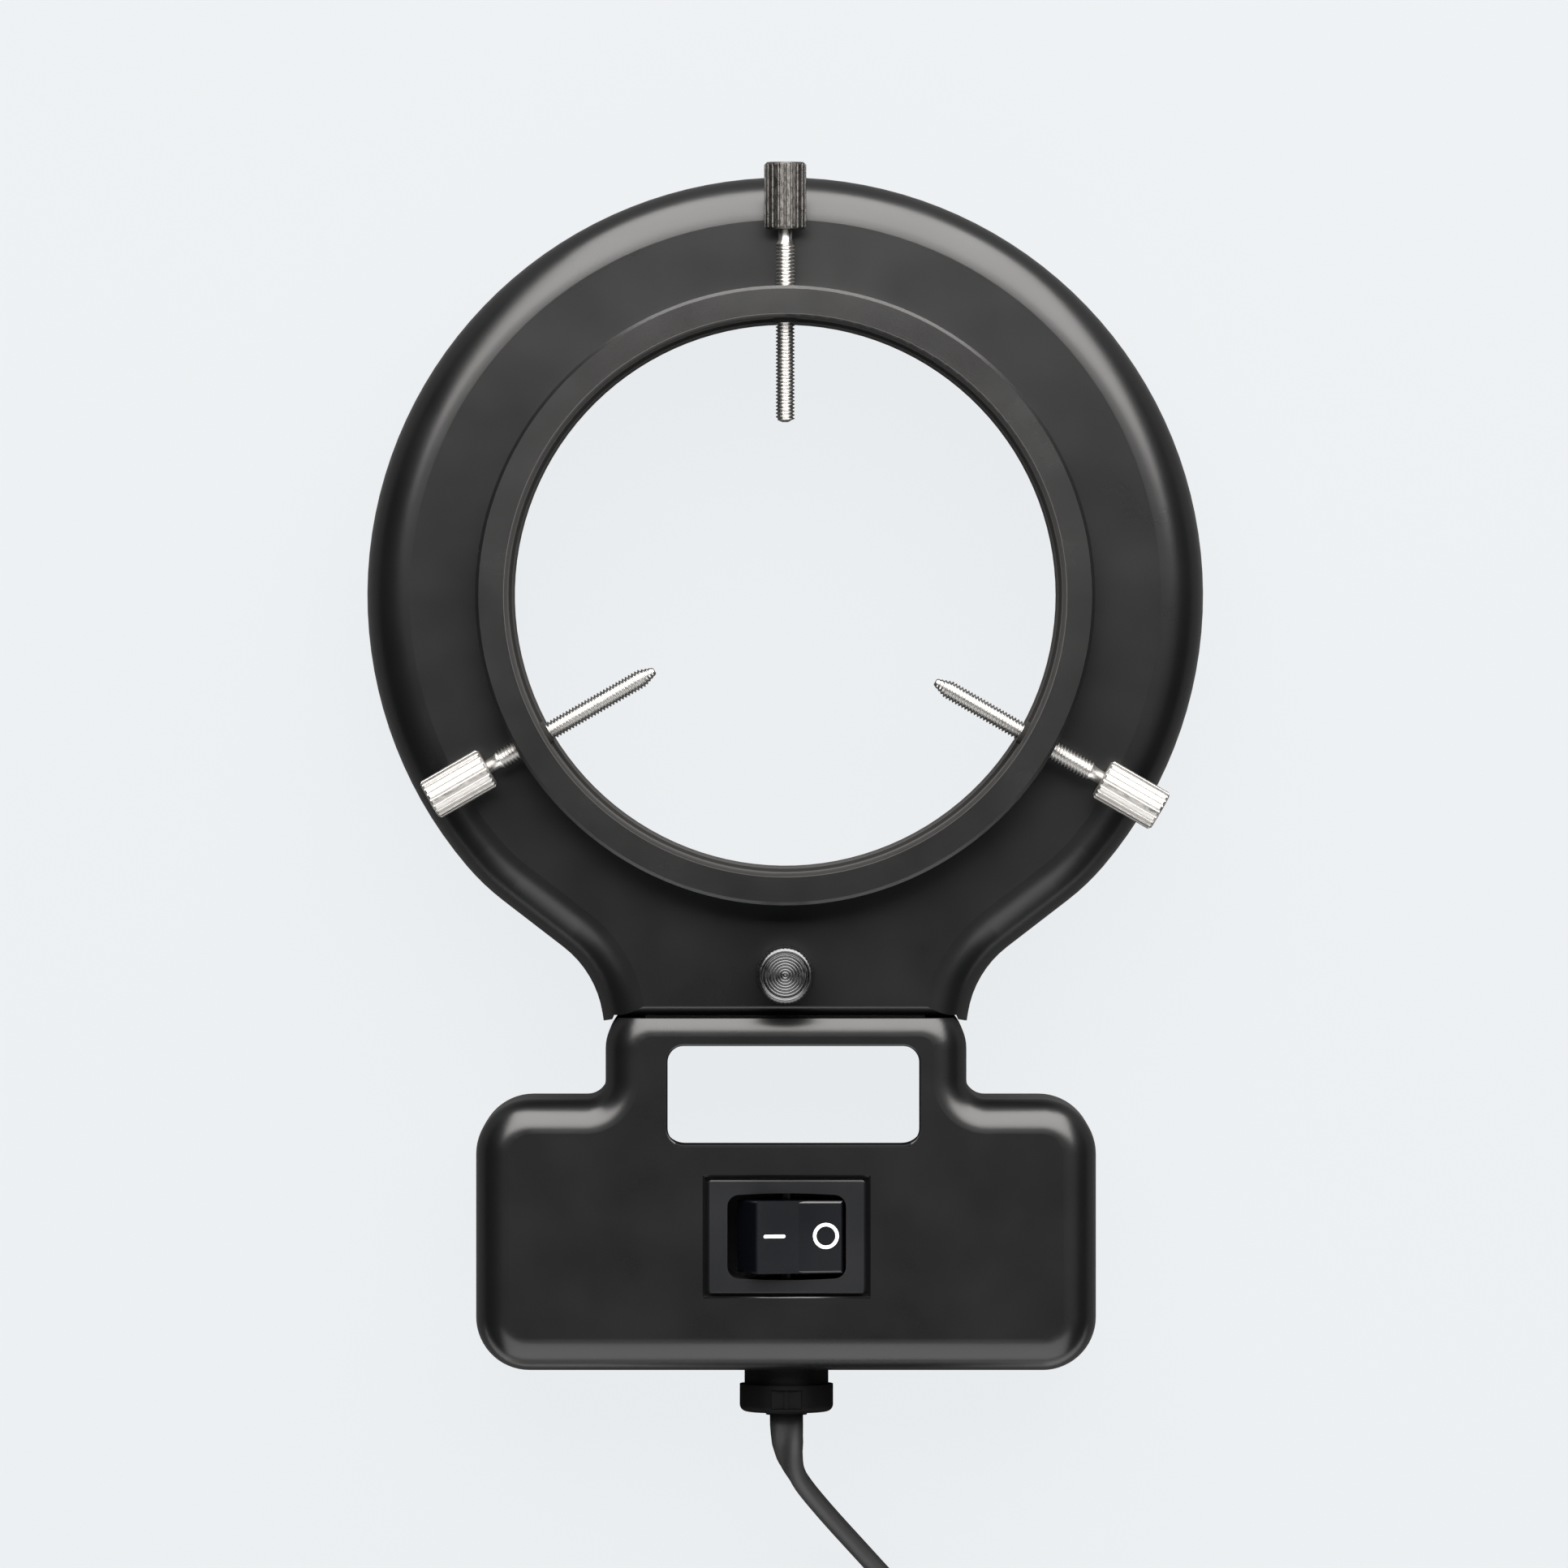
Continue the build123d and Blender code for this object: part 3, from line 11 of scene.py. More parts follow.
import bpy
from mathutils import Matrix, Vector


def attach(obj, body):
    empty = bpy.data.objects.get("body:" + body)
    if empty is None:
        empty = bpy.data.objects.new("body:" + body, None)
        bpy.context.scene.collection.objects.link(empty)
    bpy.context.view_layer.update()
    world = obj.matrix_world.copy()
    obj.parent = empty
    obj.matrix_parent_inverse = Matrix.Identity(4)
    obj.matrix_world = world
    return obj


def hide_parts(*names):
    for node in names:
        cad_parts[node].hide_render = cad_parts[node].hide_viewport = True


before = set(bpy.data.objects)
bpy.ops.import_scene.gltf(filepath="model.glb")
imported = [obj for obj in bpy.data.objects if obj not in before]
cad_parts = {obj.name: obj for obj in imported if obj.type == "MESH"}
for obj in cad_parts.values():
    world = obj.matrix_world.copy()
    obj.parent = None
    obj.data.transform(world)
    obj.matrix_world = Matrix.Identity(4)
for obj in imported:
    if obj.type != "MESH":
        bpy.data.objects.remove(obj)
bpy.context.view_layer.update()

MM = 0.001

# Camera: over the ring's axis, with a shift that puts the picture where the photograph has it
picture_side = 1932
ring_pixel = (967.5, 733.5)
metres_per_pixel = 0.102 * MM
plane_height = 20 * MM
camera_height = 1.6
camera_clip = (0.01, 20)
sensor = 36.0

# Supply cord: its flat twin section, which turns on edge, then the free stretch's route as in the CAD
cord_width = 4.2 * MM
cord_thickness = 2.3 * MM
cord_flat_until = 0.5 * MM
cord_edge_from = 9 * MM
cord_lobe_steps = 8
cord_lobe_degrees = 30
cord_route = [
    (0.15, -103.5, 11.0),
    (0.15, -107.8, 11.0),
    (1.35, -111.4, 10.2),
    (5.0, -116.0, 8.0),
    (9.6, -121.2, 5.4),
    (14.4, -126.6, 3.4),
    (19.3, -131.3, 2.4),
    (24.0, -136.0, 2.3),
]
cord_spline_order = 3
cord_spline_steps = 6

# The coil that takes the rest of the cord, as in the CAD, where the cord is a tube
cord_radius = 1.4
coil_seam_angle = 45.0
coil_outer_radius = 30.5
coil_pitch = 4.0
coil_half_turns = 11
coil_levels = (2.2, 6.6)
coil_steps = 6
plug_axis = 5.8

# Clamp screws: their places as in the CAD, then their thread and tips
clamp_angles = (90.0, 210.0, 330.0)
clamp_tip_radii = (21.7, 18.9, 21.7)
clamp_screw_z = 23.8
clamp_shank_radius = 1.2
clamp_root_radius = 0.93
clamp_neck_radius = 0.85
clamp_neck_length = 1.3
clamp_seat = 24.2
clamp_head_socket = 6.4
clamp_pitch = 0.45
clamp_tip_tapers = (0.4, 1.9, 1.9)
clamp_tip_end = 0.45
clamp_tip_flat = 0.8 * clamp_tip_end
clamp_tip_bevel = 0.15
clamp_thread_gap = 0.5
clamp_columns = 32
clamp_rows_per_turn = 8

# Rocker and its symbols
switch_centre = (0.18, -80.5, 16.4)
rocker_tilt = 12.0
rocker_top_half = 5.55
rocker_top_height = 7.7
rocker_dip = 0.5
symbol_reach = 3.3
symbol_shift = (0.14, 0.14)
bar_length = 2.85
bar_width = 0.42
ring_outer = 1.63
ring_line = 0.42
print_height = 0.03
print_depth = print_height / 3

# Thumbscrew head
thumb_centre = (0.0, -47.6)
thumb_bottom = 20.95
thumb_top = 27.55
thumb_radius = 3.6
thumb_foot = 0.35
thumb_round = 0.62
thumb_round_steps = 8
thumb_groove_outer = 2.95
thumb_groove_inner = 2.62
thumb_groove_depth = 0.28
thumb_groove_wall = 0.05
thumb_face_drop = 0.12
thumb_face_steps = 60
thumb_ridge = 0.018
thumb_ridge_pitch = 0.36
thumb_knurls = 44
thumb_knurl_columns = 4
thumb_knurl_depth = 0.07

# Rounded lower edge of the switch's recess
recess_edge = (-87.95, 22.0)
recess_edge_radius = 0.3
recess_edge_steps = 8
recess_edge_reach = 10.5
recess_edge_root = 0.1
recess_edge_lift = 0.01

# Surface detail of plastic and metal: patches of shade and gloss, and grain
plastic_shade_patch = 14
plastic_gloss_patch = 9
plastic_grain = 0.25
plastic_grain_depth = 0.006
plastic_grain_strength = 0.5
metal_squeeze = (1, 1, 12)
metal_gloss_patch = 0.8
metal_gloss_spread = (0.7, 1.4)
metal_grain = 0.35
metal_grain_depth = 0.003
metal_grain_strength = 0.6
glass_shade_patch = 20

# Dull walls of the collar's bore; and painted shade on the lower side of the finger window, darker and
# duller
mask_blur = 0.05
bore_matt_radius = 35.25
bore_matt_colour = (0.068, 0.067, 0.066)
bore_matt_roughness = 1.0
# Painted shade: the finger window's lower wall is darker than the rest of the housing plastic
window_shade_centre = 1.0
window_shade_half = 14.8
window_wall = -68.9
window_wall_half = 0.36
window_shade_colour = (0.012, 0.0122, 0.0125)
window_matt_roughness = 0.6

# Floor and world
floor_half = 4.0
floor_drop = 0.02 * MM
floor_glow = (0.836, 0.860, 0.878, 1)
floor_glow_strength = 0.955
floor_shade = (0.02, 0.0202, 0.0205, 1)
floor_plain = (0.10, 0.101, 0.102, 1)
world_colour = (0.84, 0.86, 0.88, 1)
world_strength = 0.04


# Mesh helpers

def new_object(name, vertices, faces, smooth=True):
    """A mesh object from points in metres and faces."""
    mesh = bpy.data.meshes.new(name)
    mesh.from_pydata([tuple(v) for v in vertices], [], faces)
    mesh.validate()
    mesh.update()
    for polygon in mesh.polygons:
        polygon.use_smooth = smooth
    piece = bpy.data.objects.new(name, mesh)
    bpy.context.scene.collection.objects.link(piece)
    return piece


def skin(name, rings):
    """A tube through rings of equally many points, closed at both ends."""
    count = len(rings[0])
    vertices = [point for ring in rings for point in ring]
    faces = []
    for row in range(len(rings) - 1):
        for column in range(count):
            after = (column + 1) % count
            faces.append((
                row * count + column,
                row * count + after,
                (row + 1) * count + after,
                (row + 1) * count + column,
            ))
    faces.append(tuple(range(count))[::-1])
    faces.append(tuple((len(rings) - 1) * count + k for k in range(count)))
    return new_object(name, vertices, faces)


# Node material helpers

# A Mix node's two inputs and its result, for colours and for numbers
mix_sockets = {"RGBA": (6, 7, 2), "FLOAT": (2, 3, 0)}


def shader_of(made):
    """A material's principled shader."""
    return made.node_tree.nodes["Principled BSDF"]


def material(name, colour, roughness, metallic=0.0, **sockets):
    """A principled material, with other sockets by their names."""
    made = bpy.data.materials.new(name)
    made.use_nodes = True
    shader = shader_of(made)
    shader.inputs["Base Color"].default_value = (*colour, 1)
    shader.inputs["Roughness"].default_value = roughness
    shader.inputs["Metallic"].default_value = metallic
    for socket, value in sockets.items():
        shader.inputs[socket.replace("_", " ")].default_value = value
    return made


def add_node(made, kind, **settings):
    """A new node in a material, with its properties and input values set."""
    node = made.node_tree.nodes.new(kind)
    for key, value in settings.items():
        if key in node.inputs:
            node.inputs[key].default_value = value
        else:
            setattr(node, key, value)
    return node


def link(made, source, target):
    """A link between two sockets of a material's nodes."""
    made.node_tree.links.new(source, target)


def object_coordinates(made, squeeze=(1, 1, 1)):
    """Object coordinates, squeezed along some axes for streaks."""
    place = add_node(made, "ShaderNodeTexCoord")
    mapping = add_node(made, "ShaderNodeMapping", Scale=squeeze)
    link(made, place.outputs["Object"], mapping.inputs["Vector"])
    return mapping.outputs["Vector"]


def noise(made, scale, detail=3.0, squeeze=(1, 1, 1)):
    """Noise of a size given in millimetres."""
    texture = add_node(made, "ShaderNodeTexNoise", Scale=1 / (scale * MM), Detail=detail)
    link(made, object_coordinates(made, squeeze), texture.inputs["Vector"])
    return texture.outputs["Fac"]


def remap(made, value, low, high, from_low=0.3, from_high=0.7):
    """A value spread between two limits."""
    spread = add_node(made, "ShaderNodeMapRange")
    spread.inputs["From Min"].default_value = from_low
    spread.inputs["From Max"].default_value = from_high
    spread.inputs["To Min"].default_value = low
    spread.inputs["To Max"].default_value = high
    link(made, value, spread.inputs["Value"])
    return spread.outputs["Result"]


def bump(made, height, depth, strength):
    """Relief of a depth in millimetres."""
    relief = add_node(made, "ShaderNodeBump", Distance=depth * MM, Strength=strength)
    link(made, height, relief.inputs["Height"])
    link(made, relief.outputs["Normal"], shader_of(made).inputs["Normal"])


def vary_roughness(made, value, low, high):
    """Roughness that drifts between two limits."""
    link(made, remap(made, value, low, high), shader_of(made).inputs["Roughness"])


def vary_colour(made, value, first, second):
    """Colour that drifts between two near shades."""
    mix = add_node(made, "ShaderNodeMix", data_type="RGBA")
    one, other, result = mix_sockets["RGBA"]
    link(made, remap(made, value, 0, 1), mix.inputs["Factor"])
    mix.inputs[one].default_value = (*first, 1)
    mix.inputs[other].default_value = (*second, 1)
    link(made, mix.outputs[result], shader_of(made).inputs["Base Color"])


def near_line(made, start, half, axes):
    """A mask that is 1 within a distance of a point, measured along some axes, in millimetres."""
    place = add_node(made, "ShaderNodeVectorMath", operation="SUBTRACT")
    link(made, add_node(made, "ShaderNodeTexCoord").outputs["Object"], place.inputs[0])
    place.inputs[1].default_value = tuple(x * MM for x in start)
    keep = add_node(made, "ShaderNodeVectorMath", operation="MULTIPLY")
    link(made, place.outputs[0], keep.inputs[0])
    keep.inputs[1].default_value = axes
    reach = add_node(made, "ShaderNodeVectorMath", operation="LENGTH")
    link(made, keep.outputs[0], reach.inputs[0])
    edge = ((half - mask_blur) * MM, (half + mask_blur) * MM)
    return remap(made, reach.outputs["Value"], 1, 0, *edge)


def matt_or_painted_shade_where(made, mask, colour, roughness):
    """Dull finish where a mask is 1, metallic so that the dark colour tints its sheen too. On the
    finger window's lower wall that dark colour is painted shade.
    """
    shader = shader_of(made)
    link(made, mask, shader.inputs["Metallic"])
    changes = (("Base Color", "RGBA", (*colour, 1)), ("Roughness", "FLOAT", roughness))
    for socket, kind, value in changes:
        mix = add_node(made, "ShaderNodeMix", data_type=kind)
        before, after, result = mix_sockets[kind]
        link(made, mask, mix.inputs["Factor"])
        link(made, shader.inputs[socket].links[0].from_socket, mix.inputs[before])
        mix.inputs[after].default_value = value
        link(made, mix.outputs[result], shader.inputs[socket])


def dress(made, *nodes):
    """Give CAD nodes a material."""
    for name in nodes:
        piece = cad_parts[name]
        piece.data.materials.clear()
        piece.data.materials.append(made)


# Materials

def moulded(name, first, second, rough_low, rough_high):
    """Moulded plastic with a fine grain and slow drifts in shade and gloss."""
    made = material(name, first, rough_low)
    vary_colour(made, noise(made, plastic_shade_patch), first, second)
    vary_roughness(made, noise(made, plastic_gloss_patch, detail=4), rough_low, rough_high)
    bump(made, noise(made, plastic_grain, detail=2), plastic_grain_depth, plastic_grain_strength)
    return made


def brushed(name, colour, roughness):
    """Metal with fine streaks and a little uneven gloss."""
    made = material(name, colour, roughness, metallic=1.0)
    low, high = (roughness * share for share in metal_gloss_spread)
    gloss = noise(made, metal_gloss_patch, detail=4, squeeze=metal_squeeze)
    vary_roughness(made, gloss, low, high)
    grain = noise(made, metal_grain, detail=2, squeeze=metal_squeeze)
    bump(made, grain, metal_grain_depth, metal_grain_strength)
    return made


def phosphor(name, first, second, roughness=0.5, skin_roughness=0.05):
    """Milky glass: a white phosphor coat under a clear skin."""
    made = material(name, first, roughness, Coat_Weight=1.0, Coat_Roughness=skin_roughness)
    vary_colour(made, noise(made, glass_shade_patch), first, second)
    return made


shell = moulded("shell_plastic", (0.0026, 0.0027, 0.0029), (0.0034, 0.0035, 0.0037), 0.27, 0.31)
collar = moulded("collar_finish", (0.0011, 0.0011, 0.0011), (0.0014, 0.0014, 0.0014), 0.245, 0.28)
switch_black = moulded("switch_plastic", (0.0030, 0.0034, 0.0044), (0.0038, 0.0042, 0.0053), 0.30, 0.35)
rocker_black = moulded("rocker_plastic", (0.0010, 0.0014, 0.0025), (0.0014, 0.0018, 0.0030), 0.25, 0.30)
nylon = moulded("gland_nylon", (0.0012, 0.0012, 0.0013), (0.0018, 0.0018, 0.0019), 0.5, 0.6)
vinyl = moulded("cord_jacket", (0.0095, 0.0097, 0.010), (0.0125, 0.0127, 0.013), 0.5, 0.6)
lead_vinyl = moulded("lead_jacket", (0.78, 0.78, 0.75), (0.82, 0.82, 0.79), 0.4, 0.5)
white_plastic = moulded("white_plastic", (0.80, 0.80, 0.78), (0.84, 0.84, 0.82), 0.28, 0.35)
reflector_paint = moulded("reflector_paint", (0.88, 0.88, 0.87), (0.91, 0.91, 0.90), 0.2, 0.3)
laminate = moulded("board_laminate", (0.28, 0.19, 0.08), (0.34, 0.24, 0.11), 0.45, 0.55)
core_iron = moulded("core_iron", (0.09, 0.09, 0.10), (0.12, 0.12, 0.13), 0.4, 0.6)
winding_tape = moulded("winding_tape", (0.72, 0.56, 0.10), (0.78, 0.62, 0.14), 0.3, 0.4)
sleeve_blue = moulded("capacitor_sleeve", (0.02, 0.03, 0.12), (0.03, 0.04, 0.15), 0.25, 0.35)
film_red = moulded("film_case", (0.42, 0.03, 0.02), (0.48, 0.05, 0.03), 0.2, 0.3)
chip_black = moulded("chip_case", (0.02, 0.02, 0.02), (0.03, 0.03, 0.03), 0.5, 0.6)
print_white = moulded("symbol_print", (0.82, 0.84, 0.86), (0.86, 0.88, 0.90), 0.4, 0.5)

bright_nickel = brushed("bright_nickel", (0.46, 0.447, 0.428), 0.40)
# Painted shade: a darker copy of the same nickel, for the top clamp screw's head, which sits nearest
# the key light
nickel_painted_shade = brushed("nickel_painted_shade", (0.18, 0.172, 0.163), 0.27)
screw_steel = brushed("screw_steel", (0.50, 0.492, 0.478), 0.30)
spring_steel = brushed("spring_steel", (0.5, 0.5, 0.51), 0.3)
cap_metal = brushed("cap_metal", (0.78, 0.78, 0.79), 0.35)
brass = brushed("brass", (0.36, 0.275, 0.13), 0.30)
turned_steel = brushed("thumb_metal", (0.088, 0.088, 0.09), 0.26)
lamp_glass = phosphor("lamp_glass", (0.86, 0.88, 0.88), (0.90, 0.91, 0.90))

shader_of(collar).inputs["Specular IOR Level"].default_value = 1.0
shader_of(nylon).inputs["Specular IOR Level"].default_value = 0.09

bore_mask = near_line(collar, (0, 0, 0), bore_matt_radius, (1, 1, 0))
matt_or_painted_shade_where(collar, bore_mask, bore_matt_colour, bore_matt_roughness)

# Painted shade on the finger window's lower wall: a darker, duller copy of the housing plastic
window_width = near_line(shell, (window_shade_centre, 0, 0), window_shade_half, (1, 0, 0))
window_depth = near_line(shell, (0, window_wall, 0), window_wall_half, (0, 1, 0))
window_shade_mask = add_node(shell, "ShaderNodeMath", operation="MULTIPLY")
link(shell, window_width, window_shade_mask.inputs[0])
link(shell, window_depth, window_shade_mask.inputs[1])
matt_or_painted_shade_where(shell, window_shade_mask.outputs[0], window_shade_colour, window_matt_roughness)

dress(shell, "ring_housing", "neck_cover", "ballast_housing", "ballast_cover")
dress(collar, "mounting_collar")
dress(spring_steel, "collar_clip", "lamp_clips")
# The top head wears the painted-shade copy of the nickel that the other two heads wear
dress(nickel_painted_shade, "clamp_screw_1_head")
dress(bright_nickel, "clamp_screw_2_head", "clamp_screw_3_head")
dress(turned_steel, "thumb_screw_head")
dress(screw_steel, "thumb_screw_shank", "case_screws", "tongue_screws", "board_screws")
dress(screw_steel, "clamp_screw_1_shank", "clamp_screw_2_shank", "clamp_screw_3_shank")
dress(lamp_glass, "lamp_tube")
dress(cap_metal, "lamp_end_caps")
dress(white_plastic, "lamp_base", "lamp_socket", "lamp_plug_block")
dress(brass, "lamp_pins", "neck_cover_insert", "switch_terminals", "plug_blades")
dress(reflector_paint, "reflector")
dress(switch_black, "switch_body")
dress(rocker_black, "rocker")
dress(laminate, "circuit_board")
dress(core_iron, "choke_core")
dress(winding_tape, "choke_winding")
dress(sleeve_blue, "smoothing_capacitor")
dress(film_red, "film_capacitors")
dress(chip_black, "transistors", "diodes")
dress(nylon, "strain_relief", "strain_relief_wedge")
dress(vinyl, "supply_cord", "cord_coil", "plug_body")
dress(lead_vinyl, "lamp_lead", "mains_leads")


# Threaded shanks of the clamp screws

def thread_profile(phase):
    """Height of a rounded thread, 0 at its root and 1 at its crest."""
    return 0.5 - 0.5 * cos(2 * pi * phase)


def threaded_shank(number, angle, tip_radius):
    """A clamp screw's shank with its thread, from its tip to inside its head."""
    outward = Vector((cos(radians(angle)), sin(radians(angle)), 0))
    across = Vector((-outward.y, outward.x, 0))
    upward = Vector((0, 0, 1))
    taper = clamp_tip_tapers[number - 1]
    start = Vector((0, 0, clamp_screw_z)) + tip_radius * outward
    thread_end = clamp_seat - clamp_neck_length - clamp_thread_gap
    rows = ceil(thread_end / clamp_pitch * clamp_rows_per_turn)

    def ring(along, radius_at):
        """Points round the screw's axis, at a distance from its tip."""
        points = []
        for k in range(clamp_columns):
            turn = 2 * pi * k / clamp_columns
            offset = radius_at(turn) * (cos(turn) * across + sin(turn) * upward)
            points.append((start + along * outward + offset) * MM)
        return points

    rings = [ring(0, lambda turn: clamp_tip_flat)]
    for row in range(rows + 1):
        along = clamp_tip_bevel + row * (thread_end - clamp_tip_bevel) / rows
        lead = min(1, along / taper)

        def radius_at(turn):
            """The thread's radius on this ring, less near the tip."""
            height = thread_profile(along / clamp_pitch - turn / (2 * pi))
            crest = clamp_root_radius + (clamp_shank_radius - clamp_root_radius) * height
            return clamp_tip_end + lead * (crest - clamp_tip_end)

        rings.append(ring(along, radius_at))
    for along in (clamp_seat - clamp_neck_length, clamp_seat + clamp_head_socket):
        rings.append(ring(along, lambda turn: clamp_neck_radius))
    shank = skin(f"clamp_screw_{number}_thread", rings)
    shank.data.materials.append(screw_steel)
    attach(shank, f"clamp_screw_{number}")
    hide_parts(f"clamp_screw_{number}_shank")


for number, (angle, tip_radius) in enumerate(zip(clamp_angles, clamp_tip_radii), 1):
    threaded_shank(number, angle, tip_radius)


# Thumbscrew head, turned on a lathe, with a knurled side and ridges on its face

def thumb_profile():
    """Reach, height and depth of knurl, from the head's foot over its rim to its middle."""
    profile = [
        (thumb_radius - thumb_foot, thumb_bottom, 0),
        (thumb_radius, thumb_bottom + thumb_foot, 1),
        (thumb_radius, thumb_top - thumb_round, 1),
    ]
    for k in range(1, thumb_round_steps + 1):
        turn = pi / 2 * k / thumb_round_steps
        profile.append((
            thumb_radius - thumb_round * (1 - cos(turn)),
            thumb_top - thumb_round * (1 - sin(turn)),
            cos(turn) ** 2,
        ))
    groove = thumb_top - thumb_groove_depth
    profile += [(thumb_groove_outer, groove, 0), (thumb_groove_inner + thumb_groove_wall, groove, 0)]
    face = thumb_top - thumb_face_drop
    for k in range(thumb_face_steps):
        reach = thumb_groove_inner * (1 - k / thumb_face_steps)
        ridge = thumb_ridge * cos(2 * pi * reach / thumb_ridge_pitch)
        profile.append((reach, face + ridge, 0))
    return profile


def thumb_head():
    """The head, a ring of points for each point of its profile."""
    columns = thumb_knurl_columns * thumb_knurls
    rings = []
    for reach, height, knurl in thumb_profile():
        ring = []
        for k in range(columns):
            turn = 2 * pi * k / columns
            cut = knurl * thumb_knurl_depth * (0.5 - 0.5 * cos(turn * thumb_knurls))
            ring.append(Vector((
                thumb_centre[0] + (reach - cut) * cos(turn),
                thumb_centre[1] + (reach - cut) * sin(turn),
                height,
            )) * MM)
        rings.append(ring)
    head = skin("thumb_head_turned", rings)
    head.data.materials.append(turned_steel)
    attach(head, "thumb_knob")
    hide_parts("thumb_screw_head")


thumb_head()


# Rounded edge where the light catches the lower side of the switch's recess

def recess_lip():
    """A quarter round along the recess's lower edge, rooted in the housing."""
    y, z = (place - recess_edge_radius for place in recess_edge)
    section = [(y + recess_edge_root, z + recess_edge_root)]
    for k in range(recess_edge_steps + 1):
        turn = pi / 2 * k / recess_edge_steps
        section.append((
            y + recess_edge_radius * cos(turn),
            z + recess_edge_radius * sin(turn) + recess_edge_lift,
        ))
    rings = [
        [Vector((switch_centre[0] + x, *point)) * MM for point in section]
        for x in (-recess_edge_reach, recess_edge_reach)
    ]
    lip = skin("recess_lip", rings)
    lip.data.materials.append(shell)
    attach(lip, "light")


recess_lip()


# Printed symbols on the rocker

tilt = radians(rocker_tilt)
rocker_right = Vector((cos(tilt), 0, -sin(tilt)))
rocker_up = Vector((sin(tilt), 0, cos(tilt)))
rocker_back = Vector((0, 1, 0))


def rocker_place(side, reach):
    """The point and the directions of one half of the rocker's top."""
    height = rocker_top_height - rocker_dip * (1 - reach / rocker_top_half)
    along = (rocker_top_half * rocker_right + side * rocker_dip * rocker_up).normalized()
    normal = along.cross(rocker_back)
    shift = symbol_shift[0] * rocker_right + symbol_shift[1] * rocker_back
    point = Vector(switch_centre) + side * reach * rocker_right + height * rocker_up + shift
    return point, along, normal


def print_piece(name, outline, holes, side):
    """A thin print on one half of the rocker: one loop, or two for a ring."""
    point, along, normal = rocker_place(side, symbol_reach)
    loops = [outline] + holes
    vertices, faces = [], []
    for height in (-print_depth, print_height):
        for loop in loops:
            vertices += [
                (point + x * along + y * rocker_back + height * normal) * MM for x, y in loop
            ]
    count = len(outline)
    layer = count * len(loops)
    for k in range(count):
        after = (k + 1) % count
        faces.append((k, after, layer + after, layer + k))
        if holes:
            faces.append((count + after, count + k, layer + count + k, layer + count + after))
            faces.append((layer + k, layer + after, layer + count + after, layer + count + k))
    if not holes:
        faces.append(tuple(range(layer, layer + count)))
    piece = new_object(name, vertices, faces, smooth=False)
    piece.data.materials.append(print_white)
    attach(piece, "switch_rocker")


def circle_loop(radius, count=56):
    """Points round a circle."""
    turns = [2 * pi * k / count for k in range(count)]
    return [(radius * cos(turn), radius * sin(turn)) for turn in turns]


def bar_loop(length, width, count=10):
    """A bar with rounded ends."""
    points = []
    for end in (1, -1):
        for k in range(count + 1):
            turn = -pi / 2 + pi * k / count
            points.append((
                end * (length / 2 - width / 2 + width / 2 * cos(turn)),
                end * width / 2 * sin(turn),
            ))
    return points


print_piece("on_bar", bar_loop(bar_length, bar_width), [], -1)
print_piece("off_ring", circle_loop(ring_outer), [circle_loop(ring_outer - ring_line)], 1)


# Supply cord: a flat twin cord on one smooth line

def coil_controls():
    """Control points of the coil, six to a half turn, from the coil's seam and pitch."""
    seam = Vector((cos(radians(coil_seam_angle)), sin(radians(coil_seam_angle)), 0))
    heading = Vector((seam.y, -seam.x, 0))
    lead_in = 2 * cord_radius
    start = Vector((*cord_route[-1][:2], 0)) + lead_in * heading
    centre = start - coil_outer_radius * seam
    inward = [coil_outer_radius - k * coil_pitch / 2 for k in range(coil_half_turns + 1)]
    reaches = inward + inward[::-1]
    knots = [reach * (-1) ** k for k, reach in enumerate(reaches)]
    levels = [coil_levels[0]] * len(inward) + [coil_levels[1]] * len(inward)
    widen = 1 / cos(pi / coil_steps / 2)
    points = []
    for k in range(len(knots) - 1):
        side = 1 if knots[k] > 0 else -1
        middle = (knots[k] + knots[k + 1]) / 2
        reach = abs(knots[k] - knots[k + 1]) / 2
        for step in range(coil_steps):
            turn = pi * (step + 0.5) / coil_steps
            share = (step + 0.5) / coil_steps
            level = levels[k] + (levels[k + 1] - levels[k]) * share
            points.append(
                centre
                + (middle + side * widen * reach * cos(turn)) * seam
                + side * widen * reach * sin(turn) * heading
                + Vector((0, 0, level))
            )
    side = 1 if knots[-1] > 0 else -1
    end = centre + knots[-1] * seam + Vector((0, 0, levels[-1]))
    points.append(end)
    last = end + side * lead_in * heading
    points.append(Vector((last.x, last.y, plug_axis)))
    return points


def smooth_line(controls):
    """Points along a NURBS spline with these control points, in metres."""
    curve = bpy.data.curves.new("cord_line", "CURVE")
    curve.dimensions = "3D"
    spline = curve.splines.new("NURBS")
    spline.points.add(len(controls) - 1)
    for point, place in zip(spline.points, controls):
        point.co = (*(Vector(place) * MM), 1)
    spline.order_u = cord_spline_order
    spline.use_endpoint_u = True
    spline.resolution_u = cord_spline_steps
    line = bpy.data.objects.new("cord_line", curve)
    mesh = bpy.data.meshes.new_from_object(line)
    path = [vertex.co.copy() for vertex in mesh.vertices]
    bpy.data.objects.remove(line)
    bpy.data.meshes.remove(mesh)
    return path


def twin_section():
    """Half widths and heights of a flat twin cord's outline."""
    lobe = cord_thickness / 2
    offset = cord_width / 2 - lobe
    points = []
    for side in (1, -1):
        for k in range(cord_lobe_steps + 1):
            turn = radians(cord_lobe_degrees * (k - cord_lobe_steps / 2))
            points.append((side * (offset + lobe * cos(turn)), side * lobe * sin(turn)))
    return points


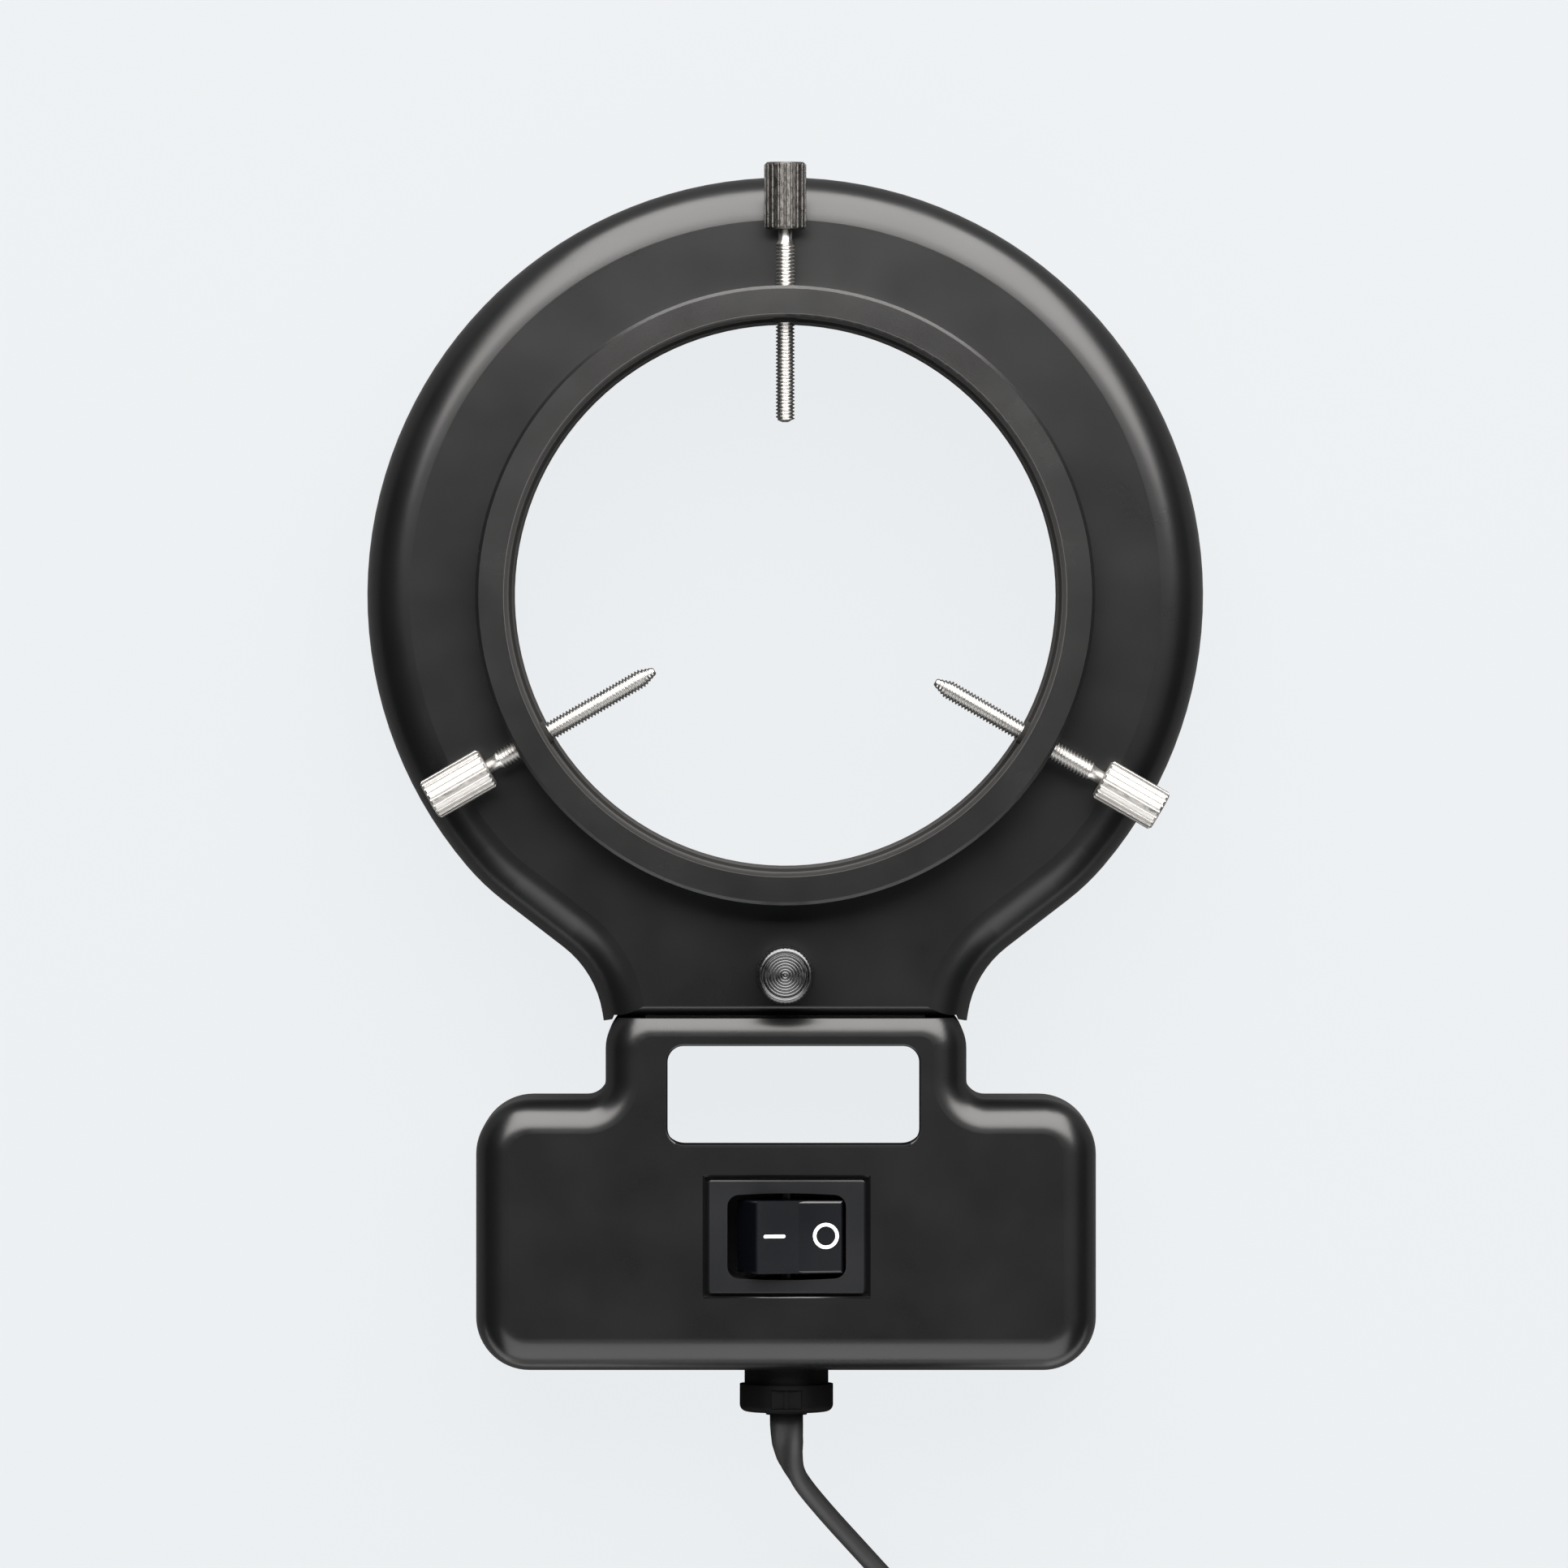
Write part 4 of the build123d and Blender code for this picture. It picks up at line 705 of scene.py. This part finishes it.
def twin_cord(name, path):
    """A flat twin cord along a path, flat to the camera at first and then turned on edge."""
    section = twin_section()
    rings = []
    travelled = 0
    for index, point in enumerate(path):
        before = path[max(index - 1, 0)]
        after = path[min(index + 1, len(path) - 1)]
        travelled += (point - before).length
        direction = (after - before).normalized()
        level = Vector((0, 0, 1)).cross(direction).normalized()
        upright = direction.cross(level)
        share = min(1, max(0, (travelled - cord_flat_until) / (cord_edge_from - cord_flat_until)))
        share = share * share * (3 - 2 * share)
        turn = share * pi / 2
        wide = cos(turn) * level + sin(turn) * upright
        thin = cos(turn) * upright - sin(turn) * level
        rings.append([point + x * wide + y * thin for x, y in section])
    return skin(name, rings)


cord_path = smooth_line(cord_route + coil_controls())
cord = twin_cord("cord_jacket", cord_path)
cord.data.materials.append(vinyl)
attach(cord, "light")
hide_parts("supply_cord", "cord_coil")


# Floor, light and camera

def pale_floor():
    """A pale floor: near white to the camera, plain to other rays, and it keeps soft shadows."""
    made = bpy.data.materials.new("floor")
    made.use_nodes = True
    made.node_tree.nodes.clear()
    glow = add_node(made, "ShaderNodeEmission", Color=floor_glow, Strength=floor_glow_strength)
    shade = add_node(made, "ShaderNodeBsdfDiffuse", Color=floor_shade)
    plain = add_node(made, "ShaderNodeBsdfDiffuse", Color=floor_plain)
    seen = add_node(made, "ShaderNodeAddShader")
    link(made, glow.outputs[0], seen.inputs[0])
    link(made, shade.outputs[0], seen.inputs[1])
    rays = add_node(made, "ShaderNodeLightPath")
    choose = add_node(made, "ShaderNodeMixShader")
    link(made, rays.outputs["Is Camera Ray"], choose.inputs["Fac"])
    link(made, plain.outputs[0], choose.inputs[1])
    link(made, seen.outputs[0], choose.inputs[2])
    output = add_node(made, "ShaderNodeOutputMaterial")
    link(made, choose.outputs[0], output.inputs["Surface"])
    return made


corners = ((-1, -1), (1, -1), (1, 1), (-1, 1))
floor = new_object("floor", [(x * floor_half, y * floor_half, 0) for x, y in corners], [(0, 1, 2, 3)])
floor.location.z = -floor_drop
floor.data.materials.append(pale_floor())


def softbox(name, place, aim, width, height, power, tint=(1, 1, 1)):
    """A rectangular studio light that the camera doesn't see."""
    light = bpy.data.lights.new(name, "AREA")
    light.shape = "RECTANGLE"
    light.size = width
    light.size_y = height
    light.energy = power
    light.color = tint
    lamp = bpy.data.objects.new(name, light)
    lamp.location = place
    lamp.rotation_euler = (Vector(aim) - Vector(place)).to_track_quat("-Z", "Y").to_euler()
    lamp.visible_camera = False
    bpy.context.scene.collection.objects.link(lamp)


softbox("key", (0.09, 0.452, 0.352), (0.09, 0.10, 0.0), 0.98, 0.85, power=23.1, tint=(1.0, 0.98, 0.96))
softbox("front_fill", (0.0, -0.40, 0.27), (0, -0.08, 0.02), 0.60, 0.50, power=2.35)
softbox("side_fill", (0.42, -0.02, 0.62), (0.04, 0.0, 0.02), 0.46, 0.50, power=0.18)
softbox("low_card", (0.0, -0.33, 0.001), (0, -0.33, 1.0), 0.50, 0.40, power=1.1)

world = bpy.data.worlds.new("studio")
bpy.context.scene.world = world
world.use_nodes = True
background = world.node_tree.nodes["Background"]
background.inputs["Color"].default_value = world_colour
background.inputs["Strength"].default_value = world_strength

camera_data = bpy.data.cameras.new("camera")
camera_data.sensor_width = sensor
field = picture_side * metres_per_pixel
camera_data.lens = sensor * (camera_height - plane_height) / field
camera_data.shift_x = (picture_side / 2 - ring_pixel[0]) / picture_side
camera_data.shift_y = (ring_pixel[1] - picture_side / 2) / picture_side
camera_data.clip_start, camera_data.clip_end = camera_clip
camera = bpy.data.objects.new("camera", camera_data)
camera.location = (0, 0, camera_height)
bpy.context.scene.collection.objects.link(camera)
bpy.context.scene.camera = camera
bpy.context.scene.view_settings.view_transform = "Standard"
